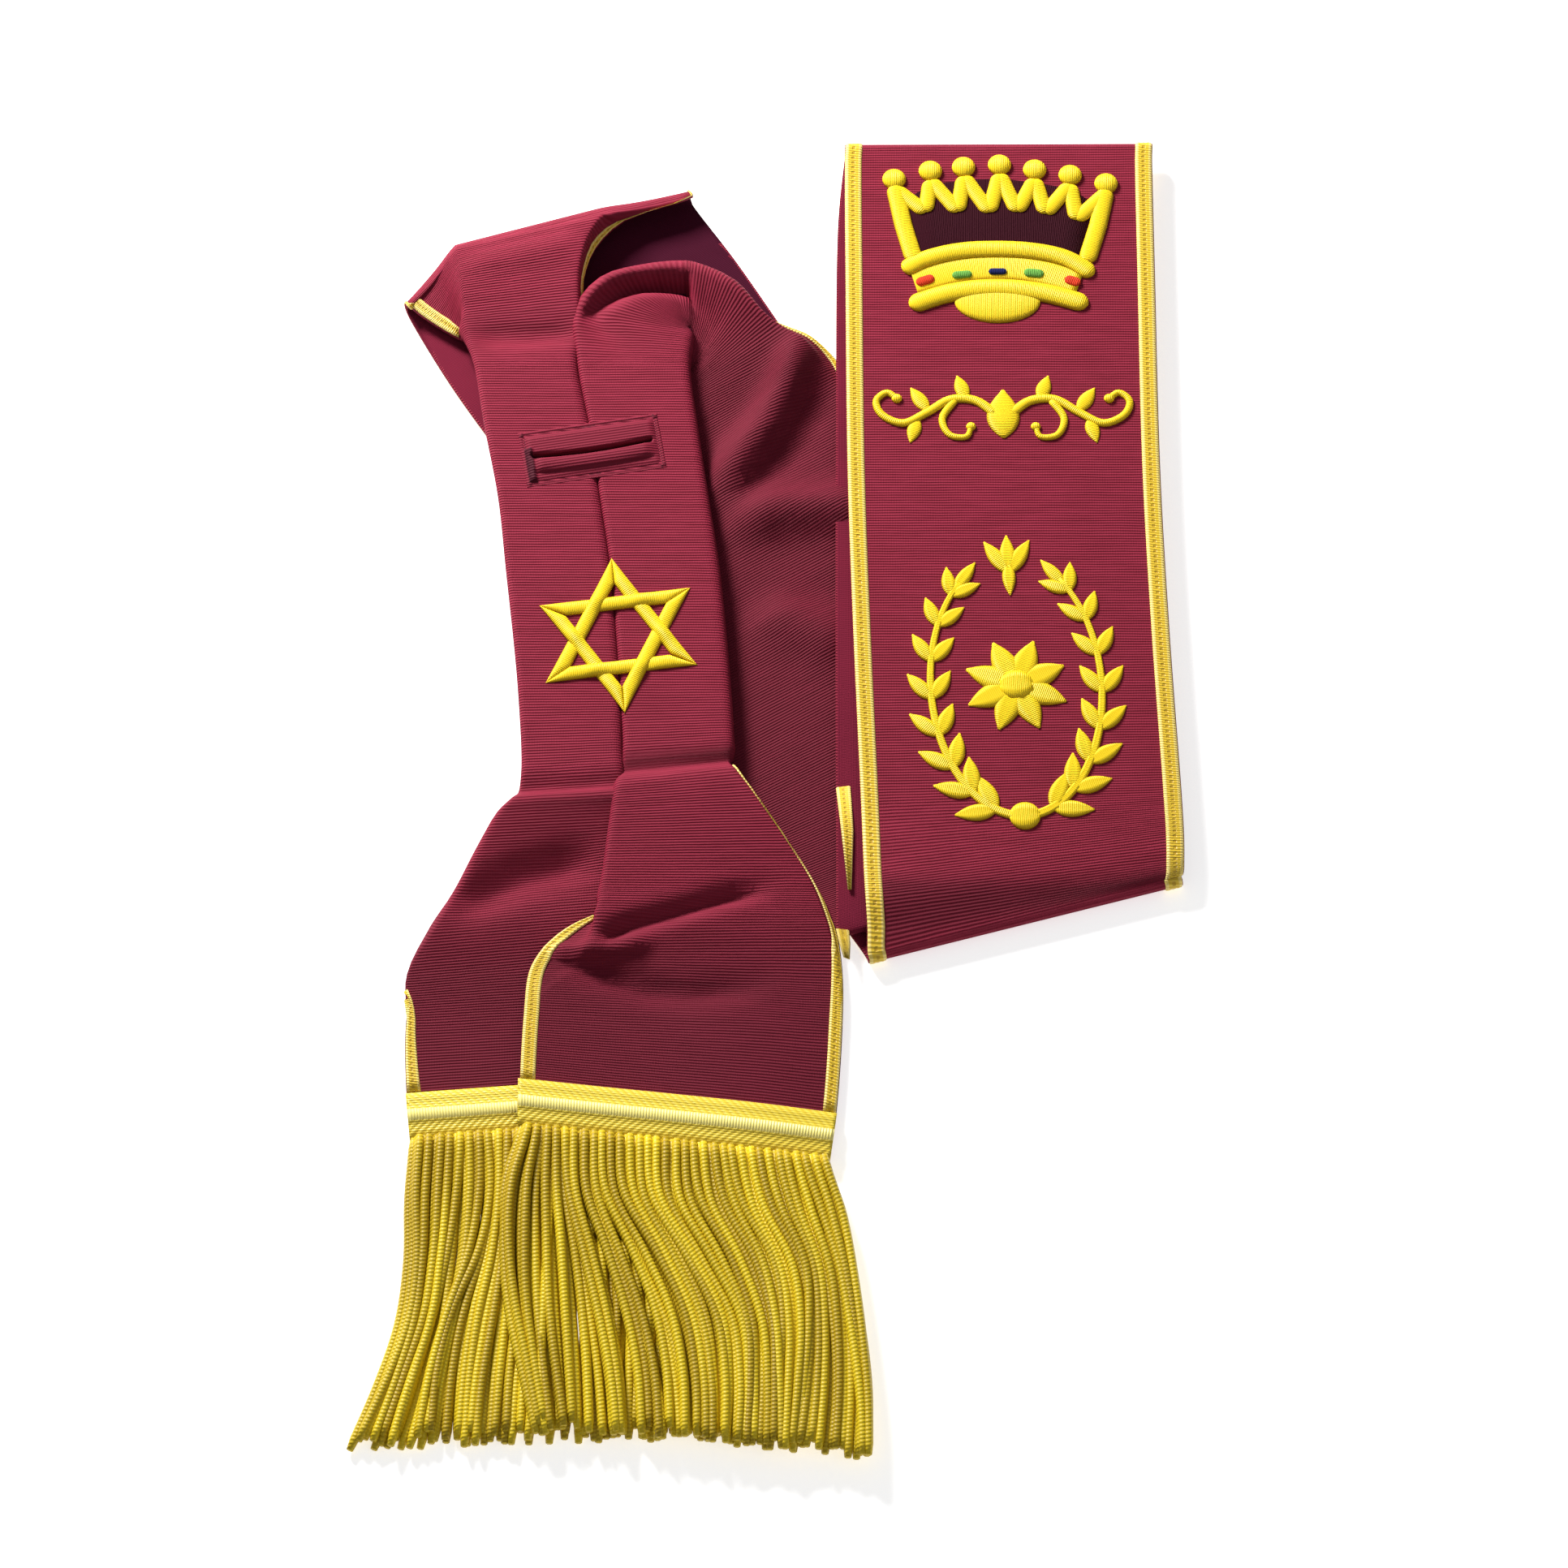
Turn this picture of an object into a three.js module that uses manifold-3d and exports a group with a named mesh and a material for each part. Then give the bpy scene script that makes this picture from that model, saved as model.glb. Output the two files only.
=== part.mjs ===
// A fringed regalia sash, folded flat and lying front up. One long ribbon makes the whole of it: from the
// left tail it is pleated in thirds up through the hip piece, turns under at the top, runs down behind,
// turns up into the broad embroidered front band, goes round behind once more and comes back over the top
// into the other half of the hip piece and the right tail. Gold lace is sewn along both of its edges.
// Millimetres, +Z up, X to the right and Y towards the top of the sash. The origin is under its middle.

import * as THREE from 'three';
import { mergeVertices } from 'three/addons/utils/BufferGeometryUtils.js';
import Module from 'manifold-3d';

const wasm = await Module();
wasm.setup();

// Driving dimensions
const RIBBON_WIDTH = 102;      // a 4 inch ribbon
const CLOTH = 1.2;             // face, interlining and lining together
const AIR = 0.3;               // between pieces that touch
const HEM = 0.6;               // the turned edge of an open stretch
const LACE_WIDTH = 6;
const LACE_THICK = 0.5;
const LACE_INSET = 0.3;
const PLEAT_PITCH = 2.4;       // from one pleated layer to the next
const THREAD_RAISE = 1.3;      // height of padded gold embroidery
const CENTRE_SHIFT = { x: 3.1, y: -2.775 };   // puts the origin under the middle of the whole outline

// Heights of the middle of the cloth in each layer
const Z = { floor: 1.4, back: 3.2, under: 6.4, front: 8.2, hip: 11, crest: 4.6 };

// Vectors
const v3 = (x, y, z) => new THREE.Vector3(x, y, z);
const mix = (a, b, t) => a.clone().lerp(b, t);
const smooth = t => { const c = Math.min(1, Math.max(0, t)); return c * c * (3 - 2 * c); };

// A section of the ribbon is four points across it: left edge, left fold, right fold and right edge,
// where left and right are those of someone who walks along its face. The run between its folds can dip:
// dip is how far in mm, dipAt and dipWide are where and how broadly, as shares of the run.
const LEVEL = { dip: 0, dipAt: 0.5, dipWide: 0.24 };
const section = (leftEdge, leftFold, rightFold, rightEdge, more = {}) =>
  ({ points: [leftEdge, leftFold, rightFold, rightEdge].map(p => v3(...p)), ...LEVEL, ...more });

// A stretch that lies open: its folds are only the hems.
function open(left, right, more = {}) {
  const a = v3(...left), b = v3(...right);
  const hem = HEM / a.distanceTo(b);
  return { points: [a, mix(a, b, hem), mix(a, b, 1 - hem), b], ...LEVEL, isOpen: true, ...more };
}

// A stretch pleated in thirds, between its two outlines, with one edge folded under the other.
function pleated(left, right, z, lowest) {
  const l = v3(left[0], left[1], z), r = v3(right[0], right[1], z);
  const across = r.clone().sub(l).normalize();
  const radius = { left: PLEAT_PITCH / 2, right: PLEAT_PITCH / 2, [lowest]: PLEAT_PITCH };
  const leftFold = l.clone().addScaledVector(across, radius.left);
  const rightFold = r.clone().addScaledVector(across, -radius.right);
  const top = leftFold.distanceTo(rightFold);
  const under = Math.min((RIBBON_WIDTH - top - Math.PI * (radius.left + radius.right)) / 2, top - 1.5);
  const leftEdge = leftFold.clone().addScaledVector(across, under).setZ(z - 2 * radius.left);
  const rightEdge = rightFold.clone().addScaledVector(across, -under).setZ(z - 2 * radius.right);
  return { points: [leftEdge, leftFold, rightFold, rightEdge], ...LEVEL };
}

// The sections of a half turn over a fold line. The outline is left to right; zFrom and zTo are heights
// before and after the turn at the two ends.
const TURN_STEPS = 4;
function turn(left, right, out, zFrom, zTo) {
  const rows = [];
  for (let k = 0; k <= TURN_STEPS; k++) {
    const angle = Math.PI * k / TURN_STEPS;
    const ends = [left, right].map((p, side) => {
      const middle = (zFrom[side] + zTo[side]) / 2, radius = (zFrom[side] - zTo[side]) / 2;
      const reach = Math.abs(radius) * (Math.sin(angle) - 1);
      return [p[0] + out[0] * reach, p[1] + out[1] * reach, middle + radius * Math.cos(angle)];
    });
    rows.push(open(...ends));
  }
  return rows;
}

// The ribbon's own way, from the end of the left tail to the end of the right one.
const leftTail = [
  open([-116.6, -125, 0.6], [-15.6, -117, 0.6]),
  open([-118.4, -109, 0.6], [-17.4, -101, 0.6]),
  open([-119, -84, 0.6], [-18, -78, 0.6]),
  section([-116.5, -69, 0.8], [-118, -68, 2.0], [-22, -58, 1.8], [-20, -60, 1.2]),
  section([-92, -46, 1.6], [-110, -54, 4.4], [-30, -46, 3.2], [-38, -50, 1.4]),
  section([-74, -34, 2.4], [-101, -38, 6.6], [-37, -32, 4.0], [-56, -34, 1.5]),
  section([-62, -22, 4.2], [-94.4, -25, 8.8], [-46, -21, 6.8], [-66, -22, 2.4]),
  section([-58, -14, 7.0], [-89, -15.2, 11.2], [-51.8, -12.4, 10.2], [-80, -14, 4.6]),
  section([-56, -10, 7.8], [-84.8, -11, 12], [-53, -8.8, 11.8], [-80, -10, 5.6]),
  section([-54, -7, 7.4], [-83.4, -7.8, 9.4], [-52.6, -5.6, 9.4], [-80, -7, 5.6]),
];
const hipLeft = [
  pleated([-83.4, -2], [-51.4, 0], Z.hip, 'right'),
  pleated([-84.9, 28.8], [-52.9, 28.8], Z.hip, 'right'),
  pleated([-89.6, 73.3], [-56.6, 73.3], Z.hip, 'right'),
  pleated([-92.6, 100], [-60.3, 100], Z.hip, 'right'),
  pleated([-97.4, 126], [-64, 126], Z.hip, 'right'),
  pleated([-101.4, 150], [-68.2, 150], Z.hip, 'right'),
];
const TOP_OUT = [-0.35, 0.937];
const topFlare = [
  section([-84, 158, 7.4], [-102.6, 158.5, 10.6], [-69.4, 160, 11], [-78, 160, 6.2]),
  section([-104, 161, 4.8], [-104.6, 168, 11.4], [-68.6, 172, 12.2], [-66.8, 171.4, 6.4]),
  section([-113, 166, 4.6], [-106, 178, 12.6], [-68.6, 184, 13], [-66.4, 183, 7]),
  section([-120, 171, 5.2], [-107.4, 187.5, 12.2], [-65.6, 197, 12.6], [-62.6, 195.6, 7]),
  section([-123.6, 173.8, 5.8], [-108.4, 192.8, 12], [-61, 205.5, 12.2], [-53, 206.4, 7.2]),
];
// The half turn over the top of the hip piece, along a fold line that is not straight.
const TOP_LINE = [
  { x: -125.2, y: 175.4, high: 6.4, low: 1.4 },
  { x: -109, y: 196.2, high: 11.4, low: 1.6 },
  { x: -62, y: 210.5, high: 10.8, low: 1.6 },
  { x: -31.4, y: 218.6, high: 7.6, low: 1.4 },
];
const topTurn = Array.from({ length: TURN_STEPS + 1 }, (_, k) => {
  const angle = Math.PI * k / TURN_STEPS;
  return section(...TOP_LINE.map(({ x, y, high, low }) => {
    const middle = (high + low) / 2, radius = (high - low) / 2;
    const reach = radius * (Math.sin(angle) - 1);
    return [x + TOP_OUT[0] * reach, y + TOP_OUT[1] * reach, middle + radius * Math.cos(angle)];
  }));
});
const backRun = [
  open([-110, 147, Z.floor], [-16, 194, Z.floor]),
  open([-82, 104, Z.floor], [8, 154, Z.floor]),
  open([-28, 21, Z.floor], [62, 66, Z.floor]),
  open([10, -38, Z.floor], [108, -8, Z.floor]),
];
const bottomTurn = turn([26.7, -64.4], [126.6, -37], [0.262, -0.965], [Z.floor, Z.floor], [5, 5.2]);
const frontBand = [
  open([26.2, -55, 6.6], [126.8, -34.6, 6.0]),
  open([25.6, -45, 8.9], [127.1, -30.6, 7.4]),
  open([25.2, -37, 8.6], [127.2, -22, 8.1]),
  open([24.4, -12, Z.front], [126.8, -8, Z.front]),
  open([22.2, 50, Z.front], [124.4, 50, Z.front]),
  open([20.6, 110, Z.front], [122.8, 110, Z.front]),
  open([20.2, 180, Z.front], [122.8, 180, Z.front]),
  open([20.2, 230, Z.front], [123.0, 230.5, Z.front]),
];
const crestTurn = turn([20.4, 235.8], [123.2, 236.2], [0, 1], [Z.front, Z.front], [Z.crest, Z.crest]);
const underRun = [
  open([18, 206, Z.under], [120.2, 207, Z.under]),
  open([17, 120, Z.under], [119, 122, Z.under]),
  open([16.6, 30, Z.under], [118.6, 40, Z.under]),
  open([16.6, -28, 5.4], [118.6, -3, 5.6]),
];
const innerTurn = turn([17, -56], [118, -29], [0.262, -0.965], [4.9, 4.9], [2.9, 2.9]);
const backRise = [
  open([2, -38, 2.9], [94, 2, 2.9]),
  open([-24, 1, Z.back], [64, 52, Z.back]),
  open([-48, 43, Z.back], [40, 94, Z.back]),
  open([-62, 74, Z.back], [27, 126, Z.back]),
  section([-72, 98, Z.back], [-67, 101, Z.back], [13.6, 151, 3.8], [18.2, 153.6, 2.9]),
];
const overTurn = [
  section([-75, 110, 3.2], [-62, 120, 3.4], [7, 158, 6.2], [10.6, 161.6, 3.2]),
  section([-76, 118, 3.3], [-44, 134, 4.0], [-6, 168, 9.8], [-2, 168.6, 3.8], { dip: -1, dipAt: 0.7 }),
  section([-75, 126, 3.5], [-32, 146, 5.0], [-18, 178, 12.8], [-16.4, 172.6, 5.0],
    { dip: -1.5, dipAt: 0.6 }),
  section([-74, 133, 3.8], [-31.0, 158, 8.4], [-29.2, 183, 14.4], [-31, 173, 6.0],
    { dip: -1.5, dipAt: 0.6, dipWide: 0.16 }),
  section([-74, 134, 3.8], [-31.3, 161.6, 10.0], [-32.4, 183.4, 14.8], [-33, 173, 6.0],
    { dip: -8.0, dipAt: 0.76, dipWide: 0.16 }),
  section([-72, 142, 4.2], [-31.4, 163.4, 11.0], [-46, 182.6, 15.0], [-44, 173, 6.6],
    { dip: -8.4, dipAt: 0.79, dipWide: 0.14 }),
  section([-68, 149, 5.0], [-31.6, 163.6, 11.2], [-57.5, 179.6, 14.4], [-48, 171, 7.0],
    { dip: -6.4, dipAt: 0.83, dipWide: 0.13 }),
  section([-65, 154, 5.6], [-31.9, 162.6, 11.0], [-66.6, 169.4, 12.4], [-42, 165, 7.6],
    { dip: -2.6, dipAt: 0.9, dipWide: 0.1 }),
];
const hipRight = [
  pleated([-31.2, 150], [-66.4, 150], Z.hip, 'left'),
  pleated([-28.6, 126], [-62.3, 126], Z.hip, 'left'),
  pleated([-25.0, 100], [-58.6, 100], Z.hip, 'left'),
  pleated([-21.3, 73.3], [-54.9, 73.3], Z.hip, 'left'),
  pleated([-17.4, 28.8], [-51.2, 28.8], Z.hip, 'left'),
  pleated([-16.2, 8], [-49.7, 5.6], Z.hip, 'left'),
];
const rightTail = [
  section([-18.4, 3.0, 7.4], [-18.2, 3.0, 9.2], [-49.4, -0.6, 9.2], [-24, 0, 7.6]),
  section([-14.4, -1.4, 11.2], [-16.6, -0.8, 12.6], [-50.6, -5.0, 12.8], [-24, -4, 8.0]),
  section([-7.4, -11.8, 10.8], [-9.8, -11, 12.2], [-52.6, -13.5, 12.2], [-25, -13, 8.2]),
  section([0.6, -24, 7.4], [-1.4, -23.4, 10.6], [-54.4, -25, 11.2], [-28, -25, 8.2]),
  section([8.6, -36.4, 5.0], [6.4, -36, 8.2], [-55.8, -37, 10.4], [-42, -37, 7.4]),
  section([12.8, -44, 4.0], [10.0, -44, 6.8], [-56.8, -44.6, 10.0], [-54, -46.6, 5.6]),
  section([14.9, -49.4, 3.4], [12.0, -49.4, 6.0], [-57.4, -50.6, 9.8], [-65, -51.4, 4.8]),
  section([16.6, -54, 3.0], [13.4, -54, 5.4], [-57.8, -56.6, 8.6], [-71.6, -55.8, 4.6]),
  section([17.8, -61, 2.6], [15.2, -61, 4.4], [-60.5, -62.5, 6.6], [-77.6, -62.6, 4.4]),
  section([18.6, -71, 2.4], [17.0, -71, 3.3], [-66, -69, 5.4], [-80.6, -69, 4.4]),
  open([18.4, -88, 2.6], [-82.0, -84, 4.8], { dip: 1.2, dipAt: 0.3 }),
  open([16.4, -117, 2.6], [-82.8, -106, 5.0], { dip: 1.2, dipAt: 0.3 }),
  open([14, -133, 2.6], [-82.7, -122, 5.0], { dip: 1.2, dipAt: 0.3 }),
];
const ROUTE = [
  ...leftTail, ...hipLeft, ...topFlare, ...topTurn, ...backRun, ...bottomTurn, ...frontBand, ...crestTurn,
  ...underRun, ...innerTurn, ...backRise, ...overTurn, ...hipRight, ...rightTail,
];

// The sections between those of the table, on a smooth way through their four points.
const ROW_STEP = 25;
function sectionsAlong(route) {
  const ways = [0, 1, 2, 3].map(n =>
    new THREE.CatmullRomCurve3(route.map(row => row.points[n]), false, 'centripetal'));
  const rows = [];
  for (let k = 0; k < route.length - 1; k++) {
    const gap = Math.max(...[1, 2].map(n => route[k].points[n].distanceTo(route[k + 1].points[n])));
    const steps = Math.max(1, Math.round(gap / ROW_STEP));
    for (let j = 0; j < steps; j++) {
      const t = j / steps, whole = (k + t) / (route.length - 1);
      const points = ways.map((way, n) =>
        way.getPoint(whole).setZ(THREE.MathUtils.lerp(route[k].points[n].z, route[k + 1].points[n].z, t)));
      const isOpen = route[k].isOpen && route[k + 1].isOpen;
      const between = key => THREE.MathUtils.lerp(route[k][key], route[k + 1][key], t);
      rows.push({
        at: k + t,
        points: isOpen ? open(points[0].toArray(), points[3].toArray()).points : points,
        dip: between('dip'), dipAt: between('dipAt'), dipWide: between('dipWide'),
      });
    }
  }
  rows.push({ ...route[route.length - 1], at: route.length - 1 });
  return rows;
}

// The cloth from a fold out to its edge, as points from the edge inwards: it turns under the middle run,
// or slopes away from it.
const FLAP_STEPS = 1, ARC_STEPS = 3, RUN_STEPS = 8;
function flap(edge, fold, inward) {
  const reach = edge.clone().sub(fold).dot(inward);
  const drop = fold.z - edge.z;
  const points = [];
  if (reach > 0 && drop > 0.5 * PLEAT_PITCH) {
    const radius = drop / 2;
    const under = fold.clone().setZ(edge.z);
    for (let k = 0; k < FLAP_STEPS; k++) points.push(mix(edge, under, k / FLAP_STEPS));
    for (let k = 0; k <= ARC_STEPS; k++) {
      const angle = Math.PI * (1 - k / ARC_STEPS);
      points.push(fold.clone().addScaledVector(inward, -radius * Math.sin(angle))
        .add(v3(0, 0, -radius * (1 - Math.cos(angle)))));
    }
    return points;
  }
  const steps = FLAP_STEPS + ARC_STEPS;
  for (let k = 0; k <= steps; k++) {
    const t = k / steps;
    points.push(mix(edge, fold, t).setZ(edge.z + drop * smooth(t)));
  }
  return points;
}

function across(row) {
  const [leftEdge, leftFold, rightFold, rightEdge] = row.points;
  const inward = rightFold.clone().sub(leftFold).setZ(0).normalize();
  const left = flap(leftEdge, leftFold, inward);
  const right = flap(rightEdge, rightFold, inward.clone().negate()).reverse();
  const run = [];
  for (let k = 1; k < RUN_STEPS; k++) {
    const t = k / RUN_STEPS;
    const near = Math.exp(-(((t - row.dipAt) / row.dipWide) ** 2));
    run.push(mix(leftFold, rightFold, t).add(v3(0, 0, row.dip * near)));
  }
  return [...left, ...run, ...right];
}

// The unit normal at each point of a grid of rows, on the face of the cloth.
function normalsOf(grid) {
  return grid.map((row, i) => row.map((_, j) => {
    const along = grid[Math.min(i + 1, grid.length - 1)][j].clone().sub(grid[Math.max(i - 1, 0)][j]);
    const over = row[Math.min(j + 1, row.length - 1)].clone().sub(row[Math.max(j - 1, 0)]);
    return over.cross(along).normalize();
  }));
}

// A closed sheet: the grid raised and lowered along its normals, with walls round its border.
function sheetSolid(grid, normals, low, high) {
  const rows = grid.length, columns = grid[0].length;
  const position = [];
  for (const level of [high, low])
    for (let i = 0; i < rows; i++)
      for (let j = 0; j < columns; j++)
        position.push(...grid[i][j].clone().addScaledVector(normals[i][j], level).toArray());
  const at = (side, i, j) => side * rows * columns + i * columns + j;
  const index = [];
  const quad = (a, b, c, d) => index.push(a, b, c, a, c, d);
  for (let i = 0; i < rows - 1; i++)
    for (let j = 0; j < columns - 1; j++) {
      quad(at(0, i, j), at(0, i, j + 1), at(0, i + 1, j + 1), at(0, i + 1, j));
      quad(at(1, i, j), at(1, i + 1, j), at(1, i + 1, j + 1), at(1, i, j + 1));
    }
  for (let i = 0; i < rows - 1; i++) {
    quad(at(0, i, 0), at(0, i + 1, 0), at(1, i + 1, 0), at(1, i, 0));
    quad(at(0, i, columns - 1), at(1, i, columns - 1), at(1, i + 1, columns - 1), at(0, i + 1, columns - 1));
  }
  for (let j = 0; j < columns - 1; j++) {
    quad(at(0, 0, j), at(1, 0, j), at(1, 0, j + 1), at(0, 0, j + 1));
    quad(at(0, rows - 1, j), at(0, rows - 1, j + 1), at(1, rows - 1, j + 1), at(1, rows - 1, j));
  }
  const geometry = new THREE.BufferGeometry();
  geometry.setAttribute('position', new THREE.Float32BufferAttribute(position, 3));
  geometry.setIndex(index);
  return geometry;
}

const solidOf = geometry => {
  const bare = geometry.index ? geometry.toNonIndexed() : geometry.clone();
  bare.deleteAttribute('normal');
  bare.deleteAttribute('uv');
  const merged = mergeVertices(bare, 1e-4);
  return new wasm.Manifold(new wasm.Mesh({
    numProp: 3,
    vertProperties: new Float32Array(merged.attributes.position.array),
    triVerts: new Uint32Array(merged.index.array),
  }));
};
const geometryOf = solid => {
  const mesh = solid.getMesh();
  const geometry = new THREE.BufferGeometry();
  geometry.setAttribute('position', new THREE.Float32BufferAttribute(mesh.vertProperties, 3));
  geometry.setIndex([...mesh.triVerts]);
  return geometry;
};

const sash = new THREE.Group();
sash.position.set(CENTRE_SHIFT.x, CENTRE_SHIFT.y, 0);
const MATERIALS = {
  ribbon: new THREE.MeshStandardMaterial({ color: 0x8a1c38, roughness: 0.75 }),
  lace: new THREE.MeshStandardMaterial({ color: 0xe8cf3a, roughness: 0.5 }),
};
function add(name, geometry, material) {
  const mesh = new THREE.Mesh(geometry, material);
  mesh.name = name;
  sash.add(mesh);
  return mesh;
}

const rows = sectionsAlong(ROUTE);
const ribbonGrid = rows.map(across);
const ribbonNormals = normalsOf(ribbonGrid);

// Both halves of the hip piece are cut through for the slot, with a faced and stitched rectangle round it.
// The cut reaches from low, between the hip piece and the layers behind it, to high, clear of everything.
const SLOT = { x: -62.6, y: 116.3, width: 44, height: 1.8, tilt: 0.165, low: 4.9, high: 20 };
const FACING = { width: 47, height: 21.6, thick: 0.7, corner: 1.5, holeMargin: 1 };
const hipTop = Z.hip + CLOTH / 2 + AIR;
const slit = new THREE.BoxGeometry(SLOT.width, SLOT.height, SLOT.high - SLOT.low);
slit.rotateZ(SLOT.tilt);
slit.translate(SLOT.x, SLOT.y, (SLOT.low + SLOT.high) / 2);
const ribbon = solidOf(sheetSolid(ribbonGrid, ribbonNormals, -CLOTH / 2, CLOTH / 2)).subtract(solidOf(slit));
add('sash_ribbon', geometryOf(ribbon), MATERIALS.ribbon);

const facingShape = new THREE.Shape();
{
  const w = FACING.width / 2, h = FACING.height / 2, c = FACING.corner;
  facingShape.moveTo(-w + c, -h);
  facingShape.lineTo(w - c, -h);
  facingShape.lineTo(w, -h + c);
  facingShape.lineTo(w, h - c);
  facingShape.lineTo(w - c, h);
  facingShape.lineTo(-w + c, h);
  facingShape.lineTo(-w, h - c);
  facingShape.lineTo(-w, -h + c);
  facingShape.closePath();
  const hole = new THREE.Path();
  const a = SLOT.width / 2 - FACING.holeMargin, b = SLOT.height / 2;
  hole.moveTo(-a, -b);
  hole.lineTo(-a, b);
  hole.lineTo(a, b);
  hole.lineTo(a, -b);
  hole.closePath();
  facingShape.holes.push(hole);
}
const facing = new THREE.ExtrudeGeometry(facingShape, { depth: FACING.thick, bevelEnabled: false });
facing.rotateZ(SLOT.tilt);
facing.translate(SLOT.x, SLOT.y, hipTop);
add('slot_facing', facing, MATERIALS.ribbon);

// The lace on the face of the ribbon, between the two braided headings, at a distance in from an edge.
function inFromEdge(points, normals, distance) {
  let gone = 0;
  for (let k = 0; k < points.length - 1; k++) {
    const step = points[k].distanceTo(points[k + 1]);
    if (gone + step >= distance || k === points.length - 2) {
      const t = (distance - gone) / step;
      const normal = mix(normals[k], normals[k + 1], t).normalize();
      return { point: mix(points[k], points[k + 1], t), normal };
    }
    gone += step;
  }
}
const LACE_COLUMNS = [0, 0.33, 0.67, 1].map(t => LACE_INSET + LACE_WIDTH * t);
function lace(name, side, from, to, slack = 0) {
  const within = rows.map((_, i) => i).filter(i => rows[i].at >= from && rows[i].at <= to);
  const found = within.map(i => LACE_COLUMNS.map(d => side === 'left'
    ? inFromEdge(ribbonGrid[i], ribbonNormals[i], d)
    : inFromEdge([...ribbonGrid[i]].reverse(), [...ribbonNormals[i]].reverse(), d)));
  if (side === 'right') found.forEach(row => row.reverse());
  const low = CLOTH / 2 + AIR + slack;
  add(name, sheetSolid(found.map(r => r.map(f => f.point)), found.map(r => r.map(f => f.normal)),
    low, low + LACE_THICK), MATERIALS.lace);
}
const startOf = stretch => ROUTE.indexOf(stretch[0]);
const endOfTail = ROUTE.length - 2;
lace('lace_tail_left_outer', 'left', 1, 2);
lace('lace_tail_left_inner', 'right', 1, 2);
lace('lace_loop_left', 'left', startOf(topFlare) + 2, startOf(underRun) + 2.6);
lace('lace_rise_left', 'left', startOf(backRise) + 0.5, startOf(overTurn));
lace('lace_loop_right', 'right', startOf(topFlare) + 4, startOf(overTurn));
lace('lace_tail_right_inner', 'right', startOf(rightTail) + 6, endOfTail, 0.25);
lace('lace_tail_right_outer', 'left', startOf(rightTail) + 8, endOfTail, 0.35);

// The woven heading across the end of each tail, and the twisted cords that hang from it, as one mass.
// Each row is a level of the piece, from its lower end up, with points [x, y, z] from left to right.
const HEADING_THICK = 1.6, FRINGE_THICK = 3.2;
function slab(name, lines, low, high, material) {
  const grid = lines.map(line => {
    const way = new THREE.CatmullRomCurve3(line.map(p => v3(...p)));
    return way.getPoints(16);
  });
  add(name, sheetSolid(grid, normalsOf(grid), low, high), material);
}
const onTail = CLOTH / 2 + AIR;
slab('heading_left', [
  [[-116.4, -125.2, 0.6], [-66, -121.2, 0.6], [-15.6, -117.2, 0.6]],
  [[-118.2, -109.6, 0.6], [-67.8, -105.6, 0.6], [-17.4, -101.6, 0.6]],
], onTail, onTail + HEADING_THICK, MATERIALS.lace);
slab('heading_right', [
  [[-82.7, -122.2, 5.2], [-58.5, -125, 4.6], [-34, -127.7, 4.6], [-10, -130.5, 4.5], [14, -133.2, 2.8]],
  [[-82.8, -106.6, 5.2], [-58, -109.3, 4.6], [-33, -112, 4.6], [-8.4, -114.8, 4.5], [16.2, -117.6, 2.8]],
], onTail, onTail + HEADING_THICK, MATERIALS.lace);
slab('fringe_left', [
  [[-133.4, -226.4, 1.6], [-113, -230.6, 1.6], [-92, -226.8, 1.6],
    [-68, -231, 1.6], [-46, -227, 1.6], [-22, -230, 1.6]],
  [[-125, -190, 1.6], [-104, -191, 1.6], [-82, -188, 1.6],
    [-60, -190, 1.6], [-40, -187, 1.6], [-16, -187, 1.6]],
  [[-119, -155, 1.6], [-98, -154, 1.6], [-77, -153, 1.6],
    [-56, -153, 1.6], [-36, -152, 1.6], [-14, -150, 1.6]],
  [[-116.4, -126, 1.6], [-96, -124.4, 1.6], [-76, -122.8, 1.6],
    [-56, -121, 1.6], [-36, -119.6, 1.6], [-15.6, -118, 1.6]],
], -FRINGE_THICK / 2, FRINGE_THICK / 2, MATERIALS.lace);
slab('fringe_right', [
  [[-92, -225, 5.2], [-70, -231, 5.2], [-46, -229, 5.2],
    [-20, -232, 5.2], [4, -231, 5.2], [28, -231.4, 1.8]],
  [[-87, -190, 5.4], [-66, -193, 5.4], [-44, -192, 5.4],
    [-20, -194, 5.4], [4, -194, 5.0], [25, -194, 1.9]],
  [[-84, -155, 5.6], [-64, -157, 5.4], [-44, -159, 5.4],
    [-22, -160, 5.4], [0, -161, 4.6], [20, -162, 1.9]],
  [[-82.7, -123, 5.8], [-63, -125, 5.6], [-44, -127, 5.4],
    [-25, -129.2, 5.4], [-4, -131.6, 3.8], [14, -134, 2.0]],
], -FRINGE_THICK / 2, FRINGE_THICK / 2, MATERIALS.lace);

// Raised gold embroidery. Each piece is drawn flat, in its own frame, and laid on the cloth.
const bandTop = Z.front + CLOTH / 2 + AIR;
function ribbonShape(points, width) {
  const side = (n, sign) => {
    const before = points[Math.max(n - 1, 0)], after = points[Math.min(n + 1, points.length - 1)];
    const dx = after[0] - before[0], dy = after[1] - before[1], length = Math.hypot(dx, dy);
    const half = sign * (typeof width === 'function' ? width(n / (points.length - 1)) : width) / 2;
    return new THREE.Vector2(points[n][0] - dy / length * half, points[n][1] + dx / length * half);
  };
  const ids = points.map((_, n) => n);
  return new THREE.Shape([...ids.map(n => side(n, -1)), ...ids.reverse().map(n => side(n, 1))]);
}
const curve = (points, pieces = 8) => new THREE.SplineCurve(points.map(p => new THREE.Vector2(...p)))
  .getPoints(pieces).map(p => [p.x, p.y]);
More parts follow.
